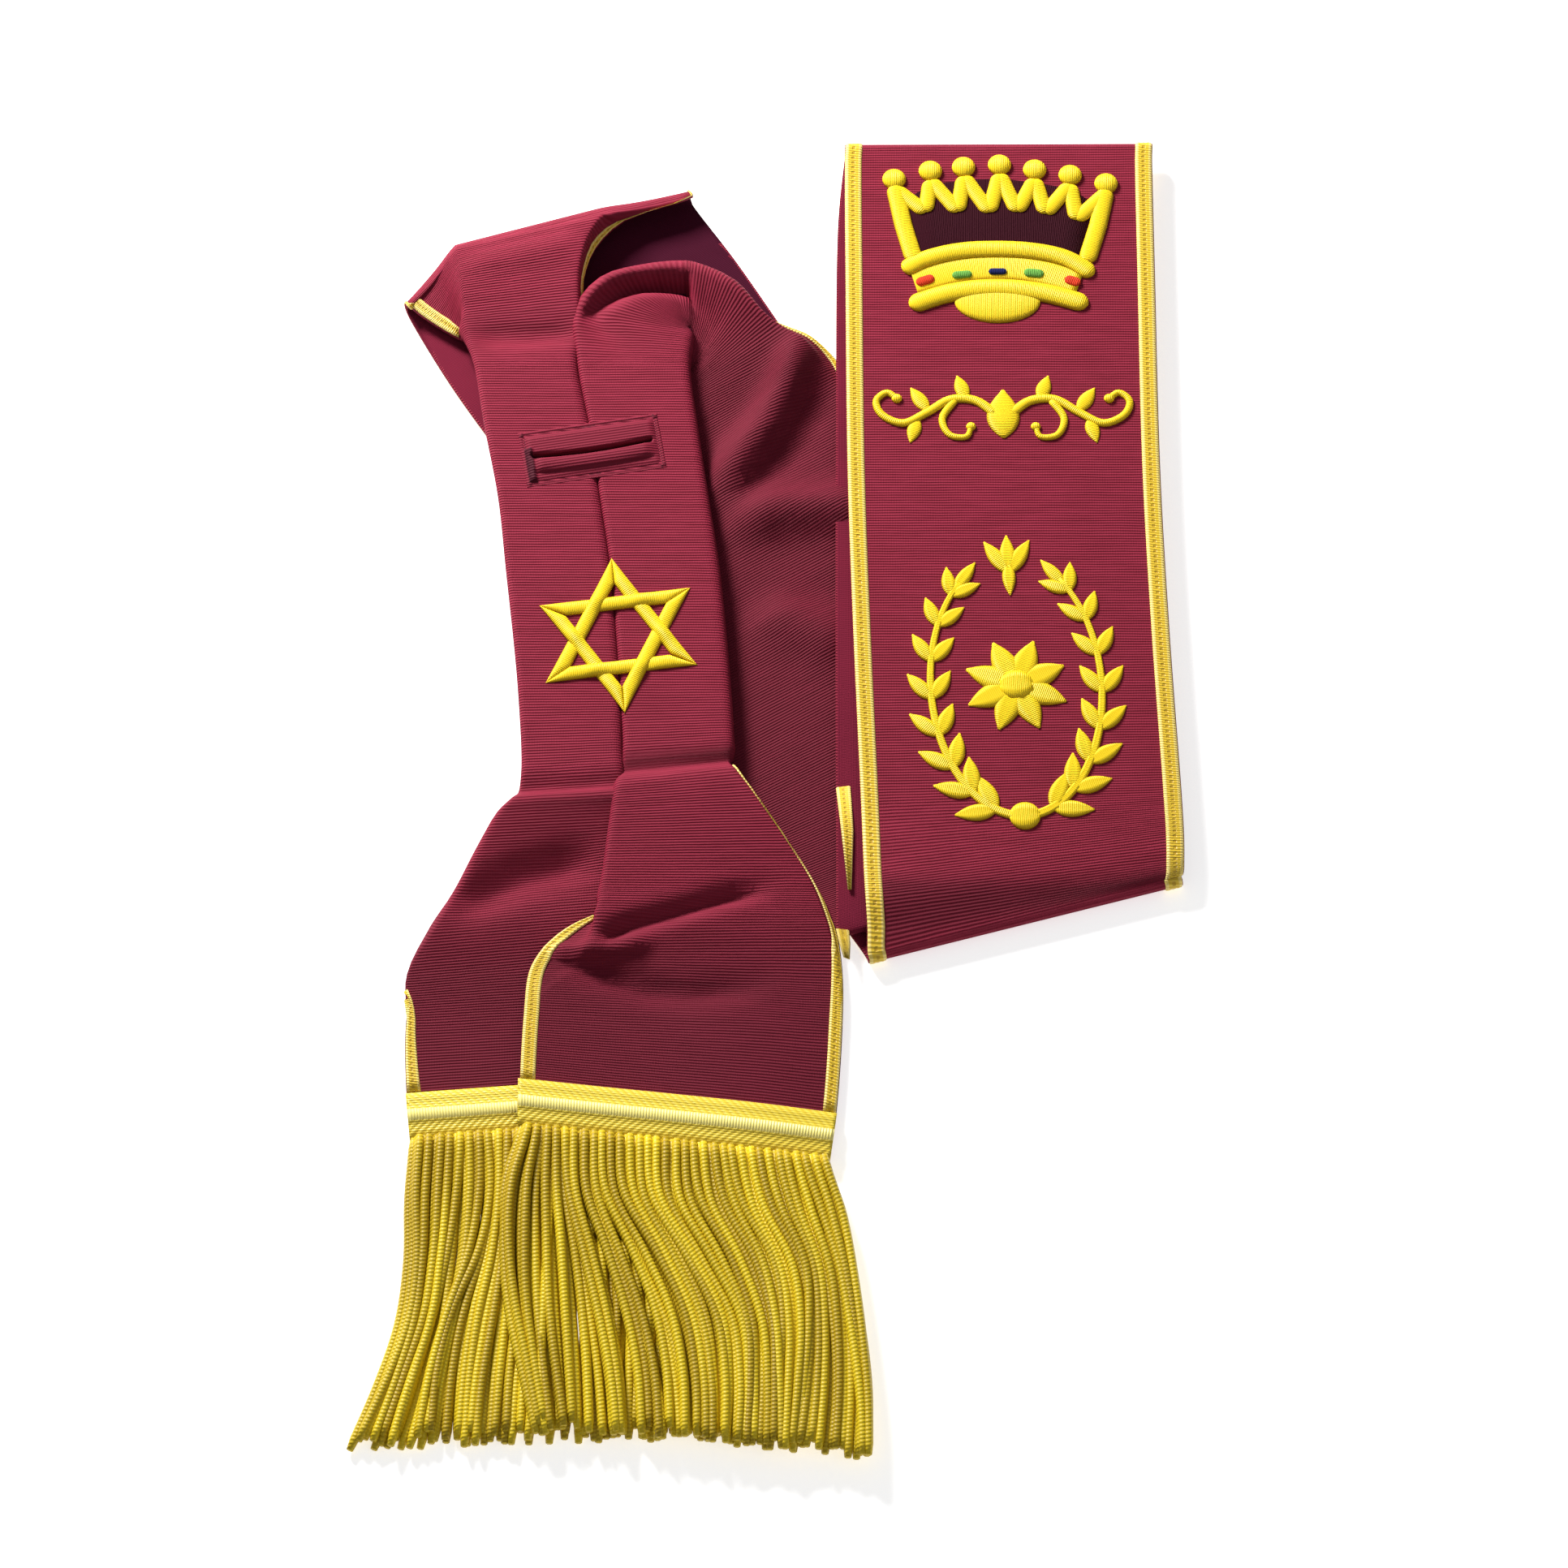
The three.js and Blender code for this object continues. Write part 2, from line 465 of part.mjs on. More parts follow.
function leafShape(base, angle, length, width) {
  const outline = [[0, 0], [0.3, 0.47], [0.7, 0.4], [1, 0], [0.7, -0.4], [0.3, -0.47]];
  const c = Math.cos(angle), s = Math.sin(angle);
  return new THREE.Shape(outline.reverse().map(([u, v]) =>
    new THREE.Vector2(base[0] + c * u * length - s * v * width, base[1] + s * u * length + c * v * width)));
}
function round(x, y, radius, sides = 10, squash = 1) {
  return new THREE.Shape(Array.from({ length: sides }, (_, n) => {
    const angle = 2 * Math.PI * n / sides;
    return new THREE.Vector2(x + radius * Math.cos(angle), y + squash * radius * Math.sin(angle));
  }));
}
const raised = (shape, height = THREAD_RAISE) =>
  solidOf(new THREE.ExtrudeGeometry(shape, { depth: height, bevelEnabled: false }));
const joined = solids => solids.reduce((whole, one) => whole.add(one));
function lay(name, solid, x, y, z, turned, material) {
  const mesh = add(name, geometryOf(solid), material);
  mesh.position.set(x, y, z);
  mesh.rotation.z = turned;
  return mesh;
}
MATERIALS.gold = new THREE.MeshStandardMaterial({ color: 0xe6c81e, roughness: 0.45 });
MATERIALS.dark = new THREE.MeshStandardMaterial({ color: 0x3c0a28, roughness: 0.8 });

// The small six-pointed star on the hip piece, of two equal triangles laced through each other.
const STAR = { x: -53.4, y: 47.8, reach: 28.3, stroke: 4.7, turned: 0.085, lean: 0.05 };
function triangleFrame(reach, stroke, turned) {
  const corners = radius => [0, 1, 2].map(n => {
    const angle = turned + Math.PI / 2 + n * 2 * Math.PI / 3;
    const x = radius * Math.cos(angle), y = radius * Math.sin(angle);
    return new THREE.Vector2(x, y + STAR.lean * x);
  });
  const frame = new THREE.Shape(corners(reach));
  frame.holes.push(new THREE.Path(corners(reach - 2 * stroke).reverse()));
  return frame;
}
lay('hip_star', joined([0, Math.PI].map(turned => raised(triangleFrame(STAR.reach, STAR.stroke, turned)))),
  STAR.x, STAR.y, hipTop, STAR.turned, MATERIALS.gold);

// The coronet at the top of the front band: seven balls on a zigzag between two uprights, two rolls with the
// jewelled rim between them, a swelling below, and a dark cap that fills the inside.
const CORONET = {
  x: 71.9, y: 194.6, ball: 3.9, ballRaise: 1.9, point: 3.6, zigzag: 5.4, upright: 6.2,
  upperRoll: 6.4, rim: 9.5, rimRaise: 0.5, lowerRoll: 7, capRaise: 0.4, jewelThick: 0.5,
};
const SWELLING = { x: -1.4, y: -20.2, reach: 14.2, squash: 0.59 };
const BALLS = [
  [-35.2, 27], [-23.1, 30.2], [-12, 31.7], [0, 32.6], [11.7, 30.7], [23.5, 28.6], [35.4, 25.3],
];
const VALLEYS = [[-24.8, 14.2], [-14, 14.4], [-3.6, 14.2], [5.6, 14.4], [15, 13.6], [25.2, 11.2]];
const UPPER_ROLL = [
  [-32.6, -8.4], [-25.4, -4.2], [-14, -1], [-1.6, -0.2], [11, -1], [21.6, -3.8], [30.6, -10],
];
const RIM = [[-29, -12.4], [-14, -8.2], [-1.6, -7], [11, -8.2], [26, -12.8]];
const LOWER_ROLL = [[-30.6, -21.8], [-16, -16.8], [-1.6, -15.2], [13, -16.8], [28.6, -21.4]];
const UPRIGHTS = [[[-35.2, 25], [-32.2, 9], [-28.6, -5]], [[35.4, 23.4], [32.4, 9], [28.2, -5.4]]];
const CAP_CORNERS = { left: [-29, -2], right: [28.6, -2.4] };
const points = BALLS.flatMap(([x, y], n) => n < VALLEYS.length ? [[x, y - CORONET.point], VALLEYS[n]]
  : [[x, y - CORONET.point]]);
const frameOf = (grown, height) => joined([
  ...points.slice(1).map((p, n) => raised(ribbonShape([points[n], p], CORONET.zigzag + grown), height)),
  ...UPRIGHTS.map(line => raised(ribbonShape(line, CORONET.upright + grown), height)),
  raised(ribbonShape(curve(UPPER_ROLL, 12), CORONET.upperRoll + grown), height),
]);
const onBand = (name, solid, z, material) => lay(name, solid, CORONET.x, CORONET.y, z, 0, material);
onBand('coronet', joined([
  frameOf(0, THREAD_RAISE),
  ...BALLS.map(([x, y]) => raised(round(x, y, CORONET.ball), CORONET.ballRaise)),
  raised(ribbonShape(curve(RIM, 8), CORONET.rim), CORONET.rimRaise),
  raised(ribbonShape(curve(LOWER_ROLL, 8), CORONET.lowerRoll)),
  raised(round(SWELLING.x, SWELLING.y, SWELLING.reach, 16, SWELLING.squash)),
]), bandTop, MATERIALS.gold);
const outline = [...points, CAP_CORNERS.right, ...UPPER_ROLL.slice(1, -1).reverse(), CAP_CORNERS.left];
const inside = new THREE.Shape(outline.reverse().map(p => new THREE.Vector2(...p)));
const cap = raised(inside, CORONET.capRaise).subtract(frameOf(2 * AIR, 2 * THREAD_RAISE));
const largest = cap.decompose().sort((a, b) => b.volume() - a.volume())[0];
onBand('coronet_cap', largest, bandTop, MATERIALS.dark);
MATERIALS.red = new THREE.MeshStandardMaterial({ color: 0xc8201c, roughness: 0.5 });
MATERIALS.green = new THREE.MeshStandardMaterial({ color: 0x46a03c, roughness: 0.5 });
MATERIALS.navy = new THREE.MeshStandardMaterial({ color: 0x1c2468, roughness: 0.5 });
const JEWELS = [
  { x: -25.2, y: -12.4, tilt: 0.35, length: 6.4, height: 3.4, colour: 'red' },
  { x: -13, y: -10.2, tilt: 0.1, length: 6.6, height: 2.8, colour: 'green' },
  { x: -1.2, y: -9, tilt: 0, length: 6, height: 2.4, colour: 'navy' },
  { x: 10.8, y: -9.6, tilt: -0.1, length: 6.6, height: 3.2, colour: 'green' },
  { x: 23.6, y: -12.6, tilt: -0.35, length: 5.6, height: 3.4, colour: 'red' },
];
JEWELS.forEach(({ x, y, tilt, length, height, colour }, n) => {
  const stone = round(0, 0, length / 2, 10, height / length);
  const geometry = new THREE.ExtrudeGeometry(stone, { depth: CORONET.jewelThick, bevelEnabled: false });
  geometry.rotateZ(tilt);
  geometry.translate(x, y, 0);
  onBand(`jewel_${n + 1}`, solidOf(geometry), bandTop + CORONET.rimRaise + AIR, MATERIALS[colour]);
});

// A scrolled flourish below the coronet: two mirrored scrolls, three leaves on each, round a lozenge.
const FLOURISH = { x: 71.8, y: 131.5 };
const scrollHalf = side => {
  const at = points => points.map(([x, y]) => [x * side, y]);
  const vine = curve(at([
    [2.5, 0], [9, 5], [17, 5.5], [25, 0.5], [33, -3.5], [40, 0], [41.5, 5], [38, 8], [34.8, 5.8],
  ]), 22);
  const curl = curve(at([[16, 5], [20, -2], [17.5, -8], [12, -8.5], [10.6, -4.8]]), 12);
  const towards = angle => side > 0 ? angle : Math.PI - angle;
  return [
    raised(ribbonShape(vine, t => 3.4 - 1.2 * t)), raised(ribbonShape(curl, t => 2.8 - 1 * t)),
    raised(leafShape([12 * side, 5.4], towards(1.25), 9.5, 5)),
    raised(leafShape([24.5 * side, 1], towards(1.0), 10.5, 5)),
    raised(leafShape([28 * side, -1.6], towards(-1.3), 9.5, 4.8)),
  ];
};
const lozenge = new THREE.Shape([[5.5, 0], [0, 9], [-5.5, 0], [0, -9]].map(p => new THREE.Vector2(...p)));
const flourish = joined([raised(lozenge), ...scrollHalf(1), ...scrollHalf(-1)]);
lay('flourish', flourish, FLOURISH.x, FLOURISH.y, bandTop, 0, MATERIALS.gold);

// The large device: two sprays of leaves that meet at the bottom, round an eight-petalled rosette.
const DEVICE = {
  x: 74.6, y: 31, turned: 0.045, halfWidth: 27.5, halfHeight: 47, leaf: 14, leafWidth: 6.2, leaves: 8,
};
const spray = side => {
  const stemAt = t => {
    const angle = -Math.PI / 2 + 0.06 + t * 2.45;
    return [side * DEVICE.halfWidth * Math.cos(angle), DEVICE.halfHeight * Math.sin(angle)];
  };
  const stem = Array.from({ length: 13 }, (_, n) => stemAt(n / 12));
  const pieces = [raised(ribbonShape(stem, t => 3.2 - 1.2 * t))];
  for (let n = 0; n < DEVICE.leaves; n++) {
    const t = (n + 0.9) / (DEVICE.leaves + 0.4);
    const [x, y] = stemAt(t), [nextX, nextY] = stemAt(t + 0.01);
    const heading = Math.atan2(nextY - y, nextX - x);
    const size = 1 - 0.25 * t;
    for (const lean of [0.62, -0.62])
      pieces.push(raised(leafShape([x, y], heading + lean, DEVICE.leaf * size, DEVICE.leafWidth * size)));
  }
  const end = stemAt(1), before = stemAt(0.97);
  pieces.push(raised(leafShape(before, Math.atan2(end[1] - before[1], end[0] - before[0]), 12, 4.6)));
  return pieces;
};
const onDevice = (name, solid) =>
  lay(name, solid, DEVICE.x, DEVICE.y, bandTop, DEVICE.turned, MATERIALS.gold);
onDevice('wreath', joined([...spray(1), ...spray(-1), raised(round(0, -DEVICE.halfHeight, 5, 12))]));
const petals = Array.from({ length: 8 }, (_, n) =>
  raised(leafShape([0, 0], n * Math.PI / 4 + Math.PI / 8, 17, 8.6)));
onDevice('rosette', joined([...petals, raised(round(0, 0, 5.6, 14), THREAD_RAISE + 0.9)]));
const finial = [-0.55, 0, 0.55].map(lean => raised(leafShape([0, 41], Math.PI / 2 + lean, 14, 5.4)));
onDevice('finial', joined([...finial, raised(leafShape([0, 45], -Math.PI / 2, 12, 4.5))]));

export default sash;
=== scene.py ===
import math
import random

import bpy
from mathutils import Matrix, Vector


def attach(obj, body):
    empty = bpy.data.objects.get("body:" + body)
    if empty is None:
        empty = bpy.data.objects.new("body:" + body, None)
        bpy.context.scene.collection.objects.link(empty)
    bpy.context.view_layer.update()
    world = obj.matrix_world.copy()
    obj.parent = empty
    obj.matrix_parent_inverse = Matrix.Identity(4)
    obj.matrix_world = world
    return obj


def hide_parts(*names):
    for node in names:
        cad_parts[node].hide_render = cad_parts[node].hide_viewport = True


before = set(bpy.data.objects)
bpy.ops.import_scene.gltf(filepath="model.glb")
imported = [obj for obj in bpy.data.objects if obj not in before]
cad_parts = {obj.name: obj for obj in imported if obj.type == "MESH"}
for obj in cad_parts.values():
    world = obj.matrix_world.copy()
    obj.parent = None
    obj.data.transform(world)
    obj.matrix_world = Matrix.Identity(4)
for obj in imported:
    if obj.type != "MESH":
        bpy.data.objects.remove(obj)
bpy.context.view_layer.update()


# The table, the light and the camera
# The sash lies on a plain pale table under large soft lamps, with the brightest light from behind its top
# end, so that folds shade on the side towards the viewer. The camera looks down on it from 63 degrees.
MM = 0.001
LAY = Vector((3.1, -2.775, 0)) * MM
CAMERA_RISE = math.radians(63)
CAMERA_DISTANCE = 2.3
CAMERA_LENS = 164.8

camera_data = bpy.data.cameras.new("camera")
camera_data.lens = CAMERA_LENS
camera_data.clip_end = 20
camera = bpy.data.objects.new("camera", camera_data)
bpy.context.collection.objects.link(camera)
look = Vector((0, -math.cos(CAMERA_RISE), math.sin(CAMERA_RISE)))
camera.location = LAY + look * CAMERA_DISTANCE
camera.rotation_euler = (math.pi / 2 - CAMERA_RISE, 0, 0)
bpy.context.scene.camera = camera
bpy.context.scene.view_settings.view_transform = "Standard"


def lamp(name, place, size, power, colour):
    data = bpy.data.lights.new(name, "AREA")
    data.size = size
    data.energy = power
    data.color = colour
    made = bpy.data.objects.new(name, data)
    made.location = place
    made.rotation_euler = (-Vector(place)).to_track_quat("-Z", "Y").to_euler()
    bpy.context.collection.objects.link(made)


lamp("key lamp", (-0.55, 0.95, 0.58), 0.3, 33, (1, 0.98, 0.96))
lamp("fill lamp", (0.9, -0.9, 1.6), 1.4, 4, (0.97, 0.98, 1))
world = bpy.data.worlds.new("studio")
world.use_nodes = True
world.node_tree.nodes["Background"].inputs["Color"].default_value = (1, 1, 1, 1)
world.node_tree.nodes["Background"].inputs["Strength"].default_value = 0.24
bpy.context.scene.world = world


class Value:
    """A number on a node socket, on which arithmetic adds Math nodes."""

    def __init__(self, surface, socket):
        self.surface = surface
        self.socket = socket

    def math(self, operation, *others):
        made = self.surface.add("ShaderNodeMath", {"operation": operation}, [self, *others])
        return Value(self.surface, made.outputs[0])

    def __add__(self, other):
        return self.math("ADD", other)

    def __sub__(self, other):
        return self.math("SUBTRACT", other)

    def __rsub__(self, other):
        return self.math("MULTIPLY_ADD", -1, other)

    def __mul__(self, other):
        return self.math("MULTIPLY", other)

    def __rmul__(self, other):
        return self.math("MULTIPLY", other)

    def __truediv__(self, other):
        return self.math("DIVIDE", other)

    def wave(self):
        """From 0 to 1 and back once for each whole number."""
        return (self * (2 * math.pi)).math("SINE").math("MULTIPLY_ADD", 0.5, 0.5)

    def between(self, low, high):
        """0 at low, 1 at high, and smooth between."""
        ramp = self.surface.add("ShaderNodeMapRange", {"interpolation_type": "SMOOTHSTEP"}, [self, low, high])
        return Value(self.surface, ramp.outputs[0])


class Surface:
    """A material with one principled shader, made node by node."""

    def __init__(self, name, roughness, specular=0.5):
        self.material = bpy.data.materials.new(name)
        self.material.use_nodes = True
        self.tree = self.material.node_tree
        self.shader = self.tree.nodes["Principled BSDF"]
        self.shader.inputs["Roughness"].default_value = roughness
        self.shader.inputs["Specular IOR Level"].default_value = specular

    def add(self, kind, settings, values):
        node = self.tree.nodes.new(kind)
        for key, setting in settings.items():
            setattr(node, key, setting)
        places = values.items() if isinstance(values, dict) else enumerate(values)
        for place, value in places:
            if isinstance(value, Value):
                self.tree.links.new(value.socket, node.inputs[place])
            elif isinstance(value, bpy.types.NodeSocket):
                self.tree.links.new(value, node.inputs[place])
            else:
                node.inputs[place].default_value = value
        return node

    def across_and_along(self):
        """The piece's own UV map, in millimetres across it and along it."""
        cloth = self.add("ShaderNodeUVMap", {"uv_map": "cloth"}, [])
        split = self.add("ShaderNodeSeparateXYZ", {}, [cloth.outputs[0]])
        return Value(self, split.outputs[0]) * 1000, Value(self, split.outputs[1]) * 1000

    def noise(self, across, along, scale, detail=2.0):
        place = self.add("ShaderNodeCombineXYZ", {}, [across, along])
        values = {"Vector": place.outputs[0], "Scale": scale, "Detail": detail}
        made = self.add("ShaderNodeTexNoise", {}, values)
        return Value(self, made.outputs["Fac"])

    def blend(self, amount, first, second):
        mixed = self.add("ShaderNodeMix", {"data_type": "RGBA"}, {0: amount, 6: first, 7: second})
        return mixed.outputs[2]

    def finish(self, colour, height=None, depth=0.0002):
        self.tree.links.new(colour, self.shader.inputs["Base Color"])
        if height is not None:
            bump = self.add("ShaderNodeBump", {}, {"Strength": 1.0, "Distance": depth, "Height": height})
            self.tree.links.new(bump.outputs[0], self.shader.inputs["Normal"])
        return self.material


# The table glows a little, so that it comes out as white as the photograph's background.
TABLE_GLOW = 0.6


def table_material():
    surface = Surface("pale table", 0.9)
    surface.shader.inputs["Emission Color"].default_value = (1, 1, 1, 1)
    surface.shader.inputs["Emission Strength"].default_value = TABLE_GLOW
    coordinates = surface.add("ShaderNodeTexCoord", {}, [])
    grain = surface.add("ShaderNodeTexNoise", {}, {"Vector": coordinates.outputs["Object"], "Scale": 400.0})
    grey, pale = (0.93, 0.93, 0.93, 1), (0.96, 0.96, 0.96, 1)
    return surface.finish(surface.blend(Value(surface, grain.outputs["Fac"]), grey, pale))


bpy.ops.object.select_all(action="DESELECT")
bpy.ops.mesh.primitive_plane_add(size=8)
table = bpy.context.object
table.name = "table"
table.data.materials.append(table_material())


# The ribbon
# One length of maroon grosgrain, lined and 102 mm wide, makes the whole sash. It is pleated in thirds for
# the two halves of the hip piece, lies open round the shoulder loop, and opens again into the two tails.
RIBBON_WIDTH = 102.0
CLOTH = 1.2
PLEAT_PITCH = 2.4
HEM = 0.6
FLOOR, BACK, CREST, UNDER, FRONT, HIP = 1.4, 3.2, 4.6, 6.4, 8.2, 11.0
BAND_FOOT_OUT = (0.262, -0.965)


def section(left_edge, left_fold, right_fold, right_edge, dip=0.0, dip_at=0.5, dip_wide=0.24, tuck=0.0):
    """Four points across the ribbon, left and right as on a walk along its face. The run between the folds
    can dip; tuck is how far its right fold hangs over a flap that comes out from under it."""
    points = [Vector(p) for p in (left_edge, left_fold, right_fold, right_edge)]
    return {"points": points, "dip": dip, "dip_at": dip_at, "dip_wide": dip_wide, "tuck": tuck, "open": False}


def lies_open(left, right, dip=0.0, dip_at=0.5):
    a, b = Vector(left), Vector(right)
    hem = HEM / (b - a).length
    return {**section(a, a.lerp(b, hem), a.lerp(b, 1 - hem), b, dip, dip_at), "open": True}


def pleated(left, right, height, lowest):
    """Folded in thirds between its two outlines, with one edge under the other."""
    l, r = Vector((*left, height)), Vector((*right, height))
    across = (r - l).normalized()
    radius = {"left": PLEAT_PITCH / 2, "right": PLEAT_PITCH / 2}
    radius[lowest] = PLEAT_PITCH
    left_fold = l + across * radius["left"]
    right_fold = r - across * radius["right"]
    top = (right_fold - left_fold).length
    under = min((RIBBON_WIDTH - top - math.pi * (radius["left"] + radius["right"])) / 2, top - 1.5)
    left_edge = left_fold + across * under - Vector((0, 0, 2 * radius["left"]))
    right_edge = right_fold - across * under - Vector((0, 0, 2 * radius["right"]))
    return section(left_edge, left_fold, right_fold, right_edge)


def turned(line, out, start, end, make=lies_open, steps=4):
    """Half a turn over a fold line: out is the way it bulges, start and end its heights before and after."""
    rows = []
    for k in range(steps + 1):
        angle = math.pi * k / steps
        points = []
        for (x, y), high, low in zip(line, start, end):
            middle, radius = (high + low) / 2, (high - low) / 2
            reach = abs(radius) * (math.sin(angle) - 1)
            points.append((x + out[0] * reach, y + out[1] * reach, middle + radius * math.cos(angle)))
        rows.append(make(*points))
    return rows


LEFT_TAIL = [
    lies_open((-116.6, -125, 0.6), (-15.6, -117, 0.6)),
    lies_open((-118.4, -109, 0.6), (-17.4, -101, 0.6)),
    lies_open((-119, -84, 0.6), (-18, -78, 0.6)),
    section((-116.5, -69, 0.8), (-118, -68, 2.0), (-22, -58, 1.8), (-20, -60, 1.2)),
    section((-92, -46, 1.6), (-110, -54, 4.4), (-30, -46, 3.2), (-38, -50, 1.4)),
    section((-74, -34, 2.4), (-101, -38, 6.6), (-37, -32, 4.0), (-56, -34, 1.5)),
    section((-62, -22, 4.2), (-94.4, -25, 8.8), (-46, -21, 6.8), (-66, -22, 2.4)),
    section((-58, -14, 7.0), (-89, -15.2, 11.2), (-51.8, -12.4, 10.2), (-80, -14, 4.6)),
    section((-56, -10, 7.8), (-84.8, -11, 12), (-53, -8.8, 11.8), (-80, -10, 5.6)),
    section((-54, -7, 7.4), (-83.4, -7.8, 9.4), (-52.6, -5.6, 9.4), (-80, -7, 5.6)),
]
HIP_LEFT = [pleated(left, right, HIP, "right") for left, right in [
    ((-83.4, -2), (-51.4, 0)), ((-84.9, 28.8), (-52.9, 28.8)), ((-89.6, 73.3), (-56.6, 73.3)),
    ((-92.6, 100), (-60.3, 100)), ((-97.4, 126), (-64, 126)), ((-101.4, 150), (-68.2, 150)),
]]
TOP_FLARE = [
    section((-84, 158, 7.4), (-102.6, 158.5, 10.6), (-69.4, 160, 11), (-78, 160, 6.2)),
    section((-104, 161, 4.8), (-104.6, 168, 11.4), (-68.6, 172, 12.2), (-66.8, 171.4, 6.4)),
    section((-113, 166, 4.6), (-106, 178, 12.6), (-68.6, 184, 13), (-66.4, 183, 7)),
    section((-120, 171, 5.2), (-107.4, 187.5, 12.2), (-65.6, 197, 12.6), (-62.6, 195.6, 7)),
    section((-123.6, 173.8, 5.8), (-108.4, 192.8, 12), (-61, 205.5, 12.2), (-53, 206.4, 7.2)),
]
TOP_TURN = turned([(-125.2, 175.4), (-109, 196.2), (-62, 210.5), (-31.4, 218.6)], (-0.35, 0.937),
                  (6.4, 11.4, 10.8, 7.6), (1.4, 1.6, 1.6, 1.4), section)
BACK_RUN = [
    lies_open((-110, 147, FLOOR), (-16, 194, FLOOR)),
    lies_open((-82, 104, FLOOR), (8, 154, FLOOR)),
    lies_open((-28, 21, FLOOR), (62, 66, FLOOR)),
    lies_open((10, -38, FLOOR), (108, -8, FLOOR)),
]
BOTTOM_TURN = turned([(26.7, -64.4), (126.6, -37)], BAND_FOOT_OUT, (FLOOR, FLOOR), (5.0, 5.2))
FRONT_BAND = [
    lies_open((26.2, -55, 6.6), (126.8, -34.6, 6.0)),
    lies_open((25.6, -45, 8.9), (127.1, -30.6, 7.4)),
    lies_open((25.2, -37, 8.6), (127.2, -22, 8.1)),
    lies_open((24.4, -12, FRONT), (126.8, -8, FRONT)),
    lies_open((22.2, 50, FRONT), (124.4, 50, FRONT)),
    lies_open((20.6, 110, FRONT), (122.8, 110, FRONT)),
    lies_open((20.2, 180, FRONT), (122.8, 180, FRONT)),
    lies_open((20.2, 230, FRONT), (123.0, 230.5, FRONT)),
]
CREST_TURN = turned([(20.4, 235.8), (123.2, 236.2)], (0, 1), (FRONT, FRONT), (CREST, CREST))
UNDER_RUN = [
    lies_open((18, 206, UNDER), (120.2, 207, UNDER)),
    lies_open((17, 120, UNDER), (119, 122, UNDER)),
    lies_open((16.6, 30, UNDER), (118.6, 40, UNDER)),
    lies_open((16.6, -28, 5.4), (118.6, -3, 5.6)),
]
INNER_TURN = turned([(17, -56), (118, -29)], BAND_FOOT_OUT, (4.9, 4.9), (2.9, 2.9))
BACK_RISE = [
    lies_open((2, -38, 2.9), (94, 2, 2.9)),
    lies_open((-24, 1, BACK), (64, 52, BACK)),
    lies_open((-48, 43, BACK), (40, 94, BACK)),
    lies_open((-62, 74, BACK), (27, 126, BACK)),
    section((-72, 98, BACK), (-67, 101, BACK), (13.6, 151, 3.8), (18.2, 153.6, 2.9)),
]
OVER_TURN = [
    section((-75, 110, 3.2), (-62, 120, 3.4), (7, 158, 6.2), (10.6, 161.6, 3.2)),
    section((-76, 118, 3.3), (-44, 134, 4.0), (-6, 168, 9.8), (-2, 168.6, 3.8), -1, 0.7),
    section((-75, 126, 3.5), (-32, 146, 5.0), (-18, 178, 12.8), (-16.4, 172.6, 5.0), -1.5, 0.6),
    section((-74, 133, 3.8), (-31.0, 158, 8.4), (-29.2, 183, 14.4), (-31, 173, 6.0), -1.5, 0.6, 0.16),
    section((-74, 134, 3.8), (-31.3, 161.6, 10.0), (-32.4, 183.4, 14.8), (-33, 173, 6.0), -8.0, 0.76, 0.16),
    section((-72, 142, 4.2), (-31.4, 163.4, 11.0), (-46, 182.6, 15.0), (-44, 173, 6.6), -8.4, 0.79, 0.14),
    section((-68, 149, 5.0), (-31.6, 163.6, 11.2), (-57.5, 179.6, 14.4), (-48, 171, 7.0), -6.4, 0.83, 0.13),
    section((-65, 154, 5.6), (-31.9, 162.6, 11.0), (-66.6, 169.4, 12.4), (-42, 165, 7.6), -2.6, 0.9, 0.1),
]
HIP_RIGHT = [pleated(left, right, HIP, "left") for left, right in [
    ((-31.2, 150), (-67.3, 150)), ((-28.6, 126), (-63.1, 126)), ((-25.0, 100), (-59.4, 100)),
    ((-21.3, 73.3), (-55.7, 73.3)), ((-17.4, 28.8), (-52.1, 28.8)), ((-16.2, 8), (-51.0, 5.6)),
]]
